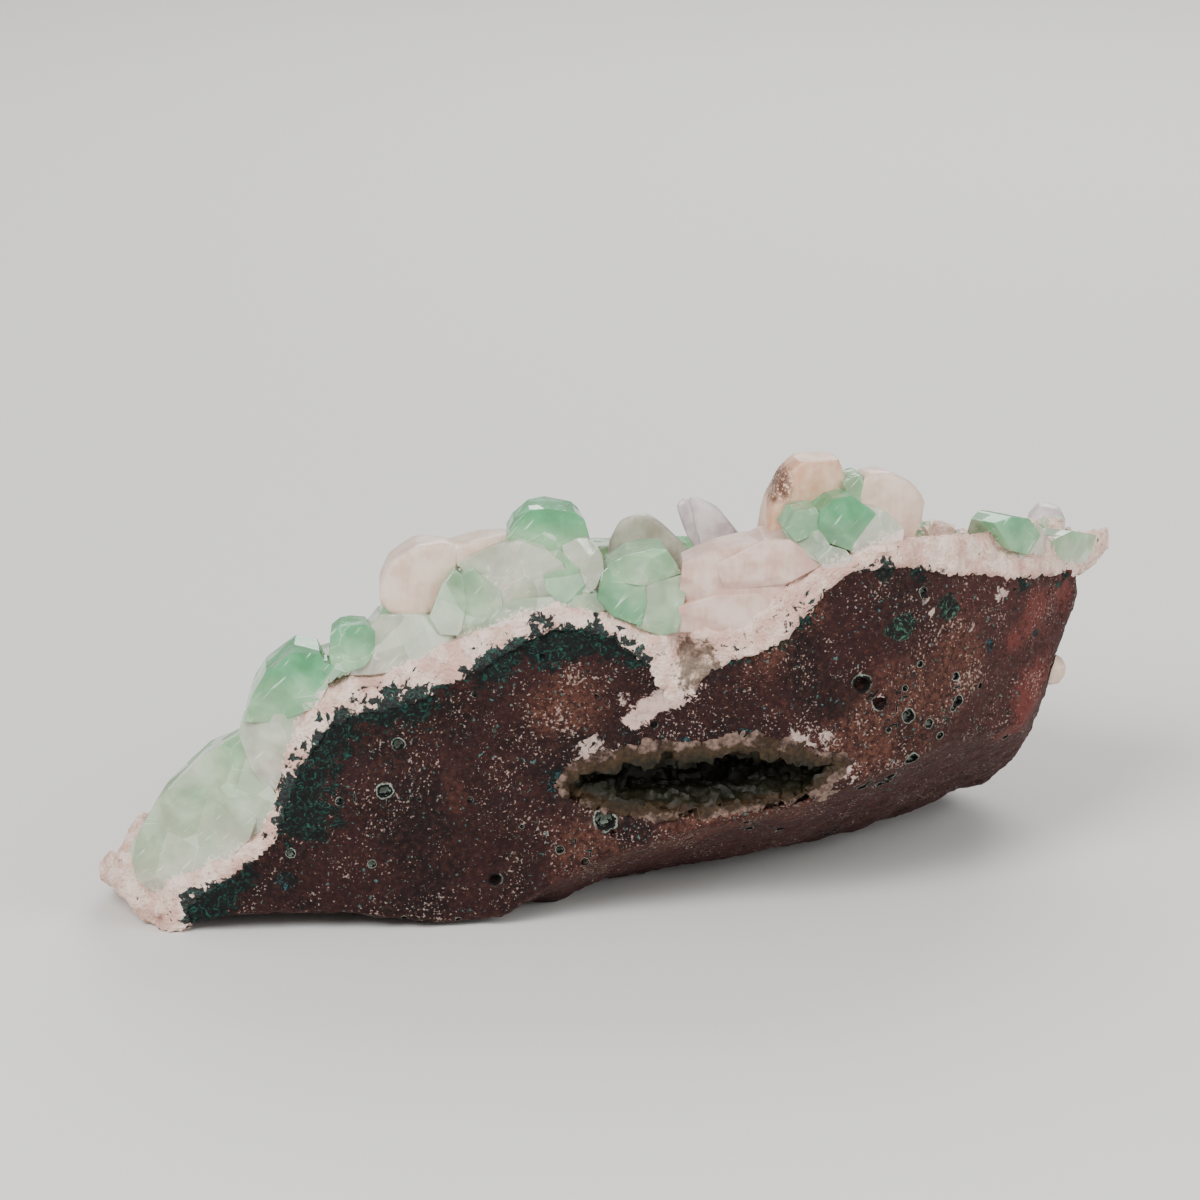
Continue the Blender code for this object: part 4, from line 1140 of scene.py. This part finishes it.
@dataclass
class Shard:
    """One crystal, cut from a block by planes through the sides of its outline.

    The outline is in pixels, back, depth, round and proud are in mm, and draw_in and slants in
    degrees. The tints run from 0 for milky to 1 for deep green, at its foot and at its top. A
    crystal with soften above 1 is worn smooth by that many steps; the others have flat faces.
    """

    outline: Pixels
    back: float = 0.0
    depth: float = 10.0
    draw_in: float = 3.0
    facets: int = 3
    round: float = 0.2
    tints: tuple[float, float] = (0.3, 0.6)
    proud: float = 0.2
    soften: int = 1
    levels: int = 3
    slants: tuple[float, float] = (9.0, 24.0)
    seed: int = 1

    def planes(self, corners: list[Vector], middle: Vector, along: Vector) -> list[Plane]:
        """The planes that the block is cut with.

        Args:
            corners: the outline on the broken face, in mm.
            middle: its middle.
            along: the direction of the broken face.

        Returns:
            A point in mm and an outward normal for each plane.
        """
        draw = random.Random(self.seed)
        up = Vector((0.0, 0.0, 1.0))
        inward = Vector((-along.y, along.x, 0.0))
        flat = [((c - middle).dot(along), (c - middle).z) for c in corners]
        area = sum(a[0] * b[1] - b[0] * a[1] for a, b in zip(flat, flat[1:] + flat[:1]))
        side = 1.0 if area > 0 else -1.0
        made: list[Plane] = []
        for a, b in zip(flat, flat[1:] + flat[:1]):
            run = Vector((b[0] - a[0], b[1] - a[1]))
            normal = along * (side * run.y) - up * (side * run.x)
            lean = math.tan(math.radians(self.draw_in * draw.uniform(0.4, 1.4)))
            normal = normal.normalized() + inward * lean
            made.append((middle + along * a[0] + up * a[1], normal.normalized()))
        reach = max(math.hypot(*p) for p in flat)
        tilt = along * draw.uniform(-0.05, 0.05) + up * draw.uniform(-0.05, 0.05)
        front = middle - inward * self.proud
        made.append((front, (tilt - inward).normalized()))
        for _ in range(self.facets):
            angle = draw.uniform(0.0, math.tau)
            out = along * math.cos(angle) + up * math.sin(angle)
            slant = math.radians(draw.uniform(*self.slants))
            at = front + out * reach * draw.uniform(0.05, 0.55)
            made.append((at, out * math.sin(slant) - inward * math.cos(slant)))
        made.append((middle + inward * self.depth, (inward + up * 0.35).normalized()))
        for angle in (0.7, 2.3):
            out = along * math.cos(angle) + up * math.sin(angle)
            at = middle + inward * self.depth * 0.72 + out * reach * 0.5
            made.append((at, (out * 0.7 + inward).normalized()))
        return made

    def build(self, name: str) -> bpy.types.Object:
        """Cuts the crystal.

        Args:
            name: the object's name.

        Returns:
            The crystal.
        """
        corners = [VIEW.on_face(u, v, self.back) for u, v in self.outline]
        middle = sum(corners, Vector()) / len(corners)
        angle = VIEW.slope(middle.x)
        along = Vector((math.cos(angle), math.sin(angle), 0.0))
        size = 2.2 * max((c - middle).length for c in corners) + 2.0 * self.depth
        bpy.ops.mesh.primitive_cube_add(size=size * MM, location=middle * MM)
        piece = bpy.context.object
        piece.name = name
        only(piece)
        bpy.ops.object.transform_apply(location=True, rotation=True, scale=True)
        bpy.ops.object.mode_set(mode="EDIT")
        for point, normal in self.planes(corners, middle, along):
            cut_off(point, normal)
        bpy.ops.object.mode_set(mode="OBJECT")
        modify(piece, "BEVEL", width=self.round * MM, segments=4 if self.round > 0.6 else 2,
               limit_method="ANGLE", angle_limit=math.radians(12.0))
        if self.soften > 1:
            modify(piece, "REMESH", mode="VOXEL", voxel_size=0.5 * MM)
        else:
            modify(piece, "TRIANGULATE")
            modify(piece, "SUBSURF", subdivision_type="SIMPLE", levels=self.levels)
        modify(piece, "SMOOTH", factor=0.5, iterations=self.soften)
        roughen(piece, "break_waves", 4.0, 0.2)
        points = points_of(piece)
        root = distances(points, SURFACES["rock"], 14.0) - rim_width(points) + 1.0
        tint = self.tints[0] + (self.tints[1] - self.tints[0]) * rise_of(points)
        local = points - np.array(middle)
        across = local @ np.array(along)
        inward = local @ np.array((-along.y, along.x, 0.0))
        blade = np.stack([across, inward, local[:, 2]], axis=1) * MM
        store(piece, root=root, tint=tint, blade=blade)
        return piece


@dataclass
class FrontGroup:
    """Crystals of one kind that stand together on the broken face."""

    node: str
    shards: list[Shard]
    finish: ApophylliteFinish | StilbiteFinish

    def build(self) -> bpy.types.Object:
        """Makes and dresses the group."""
        made = [one.build(f"{self.node}_{i}") for i, one in enumerate(self.shards)]
        piece = joined(made, f"{self.node}_crystals")
        smooth_by_angle(piece, 32.0)
        return hand_over(piece, self.finish, self.node)


@dataclass
class GrownGroup:
    """Crystals behind the front row: their solid, with its edges eased."""

    node: str
    finish: ApophylliteFinish | StilbiteFinish
    tints: tuple[float, float] = (0.0, 0.0)
    ease: float = 0.3

    def build(self) -> bpy.types.Object:
        """Makes and dresses the group."""
        piece = merged_copy(self.node, f"{self.node}_crystals")
        only(piece)
        bpy.ops.object.mode_set(mode="EDIT")
        bpy.ops.mesh.select_all(action="SELECT")
        bpy.ops.mesh.dissolve_limited(angle_limit=math.radians(1.0))
        bpy.ops.object.mode_set(mode="OBJECT")
        modify(piece, "BEVEL", width=self.ease * MM, segments=2, limit_method="ANGLE",
               angle_limit=math.radians(14.0))
        modify(piece, "TRIANGULATE")
        modify(piece, "SUBSURF", subdivision_type="SIMPLE", levels=2)
        roughen(piece, "face_waves", 3.0, 0.3)
        points = points_of(piece)
        share = rise_of(points)
        store(
            piece,
            root=distances(points, SURFACES["crust"], 6.0) + 2.0 * share,
            tint=self.tints[0] + (self.tints[1] - self.tints[0]) * share,
            blade=(points - points.mean(axis=0)) * MM,
        )
        smooth_by_angle(piece, 32.0)
        return hand_over(piece, self.finish, self.node)


@dataclass
class Druse:
    """Small crystals over the crust behind the front row: one crystal, copied many times."""

    name: str
    finish: ApophylliteFinish | StilbiteFinish
    sizes: tuple[float, float]  # half the width, in mm
    length: float
    count: int = 420
    tint: float = 0.4
    tilt: float = 0.7
    clearance: float = 12.0  # mm behind the broken face
    left_end: float = -62.0
    seed: int = 51

    def crystal(self) -> bpy.types.Object:
        """Cuts the crystal that is copied: a block with its upper corners off."""
        bpy.ops.mesh.primitive_cube_add(size=2.0 * MM)
        piece = bpy.context.object
        only(piece)
        bpy.ops.object.mode_set(mode="EDIT")
        for corner in ((1, 1, 1), (-1, 1, 1), (1, -1, 1), (-1, -1, 1)):
            normal = Vector(corner).normalized()
            cut_off(normal * 1.2, normal)
        bpy.ops.mesh.select_all(action="SELECT")
        bpy.ops.transform.resize(value=(0.8, 0.6, self.length), center_override=(0, 0, 0))
        bpy.ops.object.mode_set(mode="OBJECT")
        return piece

    def build(self, crust: bpy.types.Object) -> bpy.types.Object:
        """Copies the crystal over the crust.

        Args:
            crust: the finished crust.

        Returns:
            The crystals as one piece.
        """
        draw = random.Random(self.seed)
        one = self.crystal()
        faces = crust.data.polygons
        copies: list[bpy.types.Object] = []
        while len(copies) < self.count:
            face = faces[draw.randrange(len(faces))]
            at = face.center / MM
            crowd = noise.noise(at / 9.0 + Vector((self.seed, 0.0, 0.0)))
            behind = at.y > VIEW.face_y(at.x) + self.clearance and at.x > self.left_end
            if face.normal.z < 0.25 or not behind or draw.random() > crowd + 0.3:
                continue
            size = draw.uniform(*self.sizes)
            tilts = [draw.uniform(-self.tilt, self.tilt) for _ in range(2)]
            lean = Euler((*tilts, draw.uniform(0, 6.3)))
            turn = face.normal.to_track_quat("Z", "Y") @ lean.to_quaternion()
            copy = one.copy()
            copy.data = one.data.copy()
            bpy.context.scene.collection.objects.link(copy)
            copy.matrix_world = Matrix.LocRotScale(face.center, turn, Vector((size, size, size)))
            copies.append(copy)
        bpy.data.objects.remove(one, do_unlink=True)
        piece = joined(copies, self.name)
        points = points_of(piece)
        store(
            piece,
            root=distances(points, SURFACES["crust"], 3.0) + 0.6,
            tint=self.tint + 0.5 * uneven(points, 6.0),
            blade=points * MM,
        )
        return hand_over(piece, self.finish)


GLASSY = ApophylliteFinish()
CREAM = StilbiteFinish()
ORANGE = StilbiteFinish("stilbite_pearly_orange", "#f0cbb0", "#d9a483", stained=True)
GREY = StilbiteFinish("stilbite_pearly_grey", "#c9c6b4", "#a39d8a", clear=0.3)
LILAC = StilbiteFinish("stilbite_pearly_white", "#ece2e0", "#c3b3ba")
PINK = StilbiteFinish("stilbite_pearly_pink", "#ecd0c2", "#d2a898")

FRONT_ROW = [
    FrontGroup("apophyllite_left_mass", [
        Shard([(128, 852), (156, 801), (202, 758), (238, 736), (256, 762), (264, 800), (250, 838),
               (206, 880), (180, 902), (150, 895), (134, 880)], depth=15, tints=(0.12, 0.46),
              facets=6, seed=4),
        Shard([(246, 758), (272, 788), (286, 812), (284, 832), (262, 847), (238, 856), (232, 800)],
              depth=11, tints=(0.20, 0.34), facets=2, seed=5, proud=0.0),
    ], GLASSY),
    FrontGroup("apophyllite_mint_block", [
        Shard([(243, 722), (251, 697), (266, 671), (292, 652), (320, 654), (328, 670), (328, 686),
               (317, 706), (280, 722)], depth=14, tints=(0.55, 1.0), facets=2, seed=7, proud=0.4),
        Shard([(238, 736), (243, 722), (280, 712), (322, 704), (306, 740), (284, 790), (268, 794),
               (250, 768)], depth=12, tints=(0.0, 0.16), facets=4, seed=8),
        Shard([(316, 664), (328, 664), (346, 668), (330, 684), (318, 680)], depth=8,
              tints=(0.7, 0.9), facets=1, seed=6, proud=0.0),
        Shard([(329, 655), (331, 634), (340, 627), (368, 625), (384, 640), (364, 666), (346, 672),
               (332, 668)], depth=9, tints=(0.55, 0.85), seed=9),
        Shard([(350, 678), (352, 652), (380, 616), (408, 614), (452, 618), (466, 636), (440, 656),
               (400, 672)], depth=10, tints=(0.0, 0.20), facets=5, seed=10, proud=0.0),
        Shard([(378, 618), (385, 603), (402, 613), (412, 624), (386, 628)], back=1.5, depth=6,
              tints=(0.6, 0.8), facets=1, seed=11),
    ], GLASSY),
    FrontGroup("stilbite_left_blade", [
        Shard([(380, 604), (380, 585), (390, 562), (414, 547), (446, 545), (462, 552), (460, 570),
               (446, 596), (424, 622), (409, 622), (390, 614)], back=1.0, depth=12, round=1.6,
              facets=2, soften=10, seed=12),
        Shard([(440, 547), (468, 542), (506, 534), (522, 540), (500, 556), (473, 570), (450, 570)],
              back=3.6, depth=9, round=1.2, facets=2, soften=8, seed=13),
    ], CREAM),
    FrontGroup("apophyllite_centre", [
        Shard([(429, 617), (442, 584), (455, 569), (463, 576), (467, 604), (460, 636), (440, 636)],
              depth=8, tints=(0.22, 0.40), facets=3, seed=14, proud=0.5),
        Shard([(457, 612), (460, 576), (474, 570), (502, 590), (504, 612), (482, 642), (456, 640)],
              depth=8, tints=(0.26, 0.44), facets=2, seed=15, proud=0.3),
        Shard([(484, 602), (540, 598), (598, 594), (608, 612), (566, 624), (500, 640), (482, 634)],
              depth=8, tints=(0.10, 0.26), facets=3, levels=2, seed=16, proud=0.0),
        Shard([(456, 570), (478, 556), (494, 549), (519, 542), (546, 549), (562, 562), (576, 592),
               (566, 603), (540, 607), (508, 606), (484, 592)], back=-0.2, depth=13, round=0.4,
              tints=(0.04, 0.16), facets=6, levels=2, seed=17),
        Shard([(540, 556), (560, 551), (578, 568), (586, 588), (574, 602), (558, 605), (546, 590)],
              back=-0.2, depth=10, tints=(0.70, 0.50), facets=3, seed=18),
        Shard([(506, 538), (514, 524), (529, 511), (549, 509), (575, 512), (585, 521), (591, 541),
               (560, 553), (519, 548)], back=2.6, depth=12, tints=(0.55, 0.95), facets=3, seed=19),
        Shard([(562, 548), (576, 540), (588, 539), (602, 554), (604, 570), (596, 588), (584, 598),
               (570, 590)], back=0.6, depth=9, round=0.4, tints=(0.0, 0.12), facets=4, seed=20),
    ], GLASSY),
    FrontGroup("apophyllite_faceted", [
        Shard([(597, 600), (602, 572), (620, 560), (644, 574), (648, 604), (640, 626), (612, 616)],
              depth=10, tints=(0.95, 0.45), facets=4, seed=21),
        Shard([(606, 566), (622, 556), (654, 549), (668, 551), (684, 576), (648, 586), (614, 582)],
              depth=10, tints=(0.40, 0.60), facets=3, seed=22, proud=0.5),
        Shard([(640, 586), (686, 576), (687, 592), (678, 633), (660, 637), (636, 628)], depth=10,
              tints=(0.55, 0.36), facets=3, seed=23),
    ], GLASSY),
    FrontGroup("stilbite_grey_knob", [
        Shard([(606, 566), (607, 543), (613, 530), (624, 517), (641, 512), (662, 521), (680, 539),
               (694, 556), (690, 580), (640, 590)], back=14.0, depth=11, round=2.2, facets=1,
              draw_in=14, soften=16, seed=24),
    ], GREY),
    FrontGroup("stilbite_slanting_blade", [
        Shard([(671, 509), (686, 497), (700, 512), (714, 534), (712, 566), (698, 566), (686, 534)],
              back=17.0, depth=4, round=0.4, facets=1, soften=4, seed=25),
        Shard([(688, 495), (701, 501), (722, 513), (734, 528), (746, 543), (760, 562), (722, 580),
               (704, 560), (694, 524)], back=15.0, depth=6, round=0.5, facets=2, soften=6, seed=26),
    ], LILAC),
    FrontGroup("stilbite_broad_mass", [
        Shard([(679, 596), (683, 564), (722, 550), (770, 541), (812, 552), (830, 574),
               (802, 606), (756, 632), (704, 642), (677, 630)], depth=13, round=0.4, facets=8,
              seed=27, proud=0.2),
        Shard([(716, 562), (744, 550), (762, 541), (790, 540), (812, 554), (824, 566), (784, 584),
               (724, 592)], depth=12, round=0.5, facets=5, seed=39, proud=0.8),
        Shard([(678, 606), (716, 594), (792, 592), (806, 602), (764, 622), (716, 636), (678, 634)],
              depth=11, round=0.5, facets=5, seed=28, proud=0.7),
    ], PINK),
    FrontGroup("stilbite_tall_blade", [
        Shard([(767, 560), (769, 531), (772, 503), (784, 478), (803, 458), (821, 452), (839, 455),
               (846, 471), (851, 500), (846, 560)], back=7.0, depth=8, round=1.6, facets=2,
              soften=30, seed=29),
    ], ORANGE),
    FrontGroup("apophyllite_right_mass", [
        Shard([(784, 530), (794, 512), (817, 508), (824, 520), (820, 534), (796, 542)], back=0.3,
              depth=9, tints=(0.50, 0.70), seed=30),
        Shard([(786, 534), (820, 528), (834, 550), (824, 566), (806, 556), (792, 546)], depth=8,
              tints=(0.16, 0.34), seed=31, proud=0.0),
        Shard([(843, 482), (862, 474), (868, 500), (850, 508)], back=6.0, depth=8,
              tints=(0.4, 0.6), seed=32),
        Shard([(818, 530), (820, 512), (836, 500), (852, 496), (870, 509), (888, 524), (874, 544),
               (852, 551), (830, 544)], depth=12, tints=(0.72, 1.0), facets=4, seed=33, proud=0.5),
        Shard([(814, 554), (828, 545), (846, 550), (856, 562), (842, 575), (824, 572)], depth=8,
              tints=(0.12, 0.3), seed=34, proud=0.3),
        Shard([(862, 508), (888, 512), (908, 530), (904, 552), (868, 564), (850, 552)], depth=9,
              tints=(0.0, 0.12), facets=5, seed=35, proud=0.3),
    ], GLASSY),
    FrontGroup("stilbite_right_blade", [
        Shard([(856, 530), (857, 497), (861, 482), (874, 472), (894, 472), (914, 482), (928, 498),
               (926, 520), (914, 545), (870, 548)], back=5.6, depth=9, round=1.8, facets=2,
              soften=30, seed=36),
    ], CREAM),
    FrontGroup("apophyllite_right_edge", [
        Shard([(992, 523), (1008, 516), (1026, 518), (1037, 534), (1026, 554), (1008, 550)],
              depth=9, tints=(0.55, 0.80), facets=2, proud=0.9, seed=37),
        Shard([(1022, 522), (1040, 524), (1064, 546), (1054, 566), (1020, 560)], depth=7,
              tints=(0.0, 0.1), facets=2, seed=40, proud=0.0),
        Shard([(1054, 542), (1074, 531), (1096, 535), (1091, 552), (1078, 572), (1054, 568)],
              depth=7, tints=(0.25, 0.50), facets=3, seed=38),
    ], GLASSY),
]  # fmt: skip

DRUSES = [
    Druse("apophyllite_druse", GLASSY, (0.6, 1.7), 1.0),
    Druse("stilbite_druse", CREAM, (0.5, 1.3), 1.5, seed=52),
]

BEHIND = [
    GrownGroup("apophyllite_mid_left", GLASSY, (0.2, 0.7)),
    GrownGroup("apophyllite_mid_centre", GLASSY, (0.1, 0.5)),
    GrownGroup("apophyllite_mid_right", GLASSY, (0.2, 0.8)),
    GrownGroup("apophyllite_back_left", GLASSY, (0.1, 0.5)),
    GrownGroup("apophyllite_back_centre", GLASSY, (0.3, 0.8)),
    GrownGroup("apophyllite_back_right", GLASSY, (0.1, 0.6)),
    GrownGroup("apophyllite_left_back", GLASSY, (0.2, 0.6)),
    GrownGroup("stilbite_mid_fan", CREAM),
    GrownGroup("stilbite_right_fan", PINK),
    GrownGroup("stilbite_back_fan", CREAM),
    GrownGroup("stilbite_back_edge", PINK),
    GrownGroup("stilbite_back_right", CREAM),
    GrownGroup("stilbite_end_knob", LILAC),
    GrownGroup("side_knob", CREAM),
]


# Studio


@dataclass
class Studio:
    """A pale floor and soft light."""

    floor_colour: str = "#d9d8d5"
    sky_colour: str = "#f1f0ee"
    sky_strength: float = 0.55
    reach: float = 6.0
    aim: tuple[float, float, float] = (0.0, 0.0, 0.03)

    def build(self) -> None:
        """Adds the floor, the lamps and the surrounding light."""
        bpy.ops.mesh.primitive_plane_add(size=self.reach)
        floor = bpy.context.object
        floor.name = "floor"
        made, _, shader = new_material("studio_paper")
        connect(shader, {"Base Color": self.floor_colour, "Roughness": 0.9})
        floor.data.materials.append(made)
        floor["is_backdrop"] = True
        self.lamp("key", (-0.45, -0.75, 0.75), 0.55, 15.0)
        self.lamp("fill", (0.75, -0.45, 0.45), 0.7, 6.0)
        self.lamp("back", (0.15, 0.75, 0.65), 0.6, 7.0)
        world = bpy.data.worlds.new("studio")
        world.use_nodes = True
        backdrop = world.node_tree.nodes["Background"]
        connect(backdrop, {"Color": self.sky_colour, "Strength": self.sky_strength})
        bpy.context.scene.world = world

    def lamp(self, name: str, at: tuple[float, float, float], size: float, power: float) -> None:
        """Adds a square soft lamp that points at the specimen.

        Args:
            name: its name.
            at: its place in metres.
            size: its side in metres.
            power: its power in watts.
        """
        data = bpy.data.lights.new(name, "AREA")
        data.size = size
        data.energy = power
        lamp = bpy.data.objects.new(name, data)
        lamp.location = at
        lamp.rotation_euler = (Vector(self.aim) - Vector(at)).to_track_quat("-Z", "Y").to_euler()
        bpy.context.scene.collection.objects.link(lamp)


def main() -> None:
    """Builds the specimen and its surroundings."""
    logging.basicConfig(level=logging.INFO, format="%(name)s %(message)s")
    solids = [list(corner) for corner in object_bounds()]
    BOX.extend(solids)
    Studio().build()
    VIEW.camera()
    SURFACES["rock"] = tree_of(FRAME["nodes"]["basalt_matrix"])
    BasaltMatrix().build()
    crust = Crust().build()
    SURFACES["crust"] = tree_of(crust)
    VugLining().build()
    for group in FRONT_ROW + BEHIND:
        group.build()
    for druse in DRUSES:
        druse.build(crust)


if __name__ == "__main__":
    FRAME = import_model()
    main()
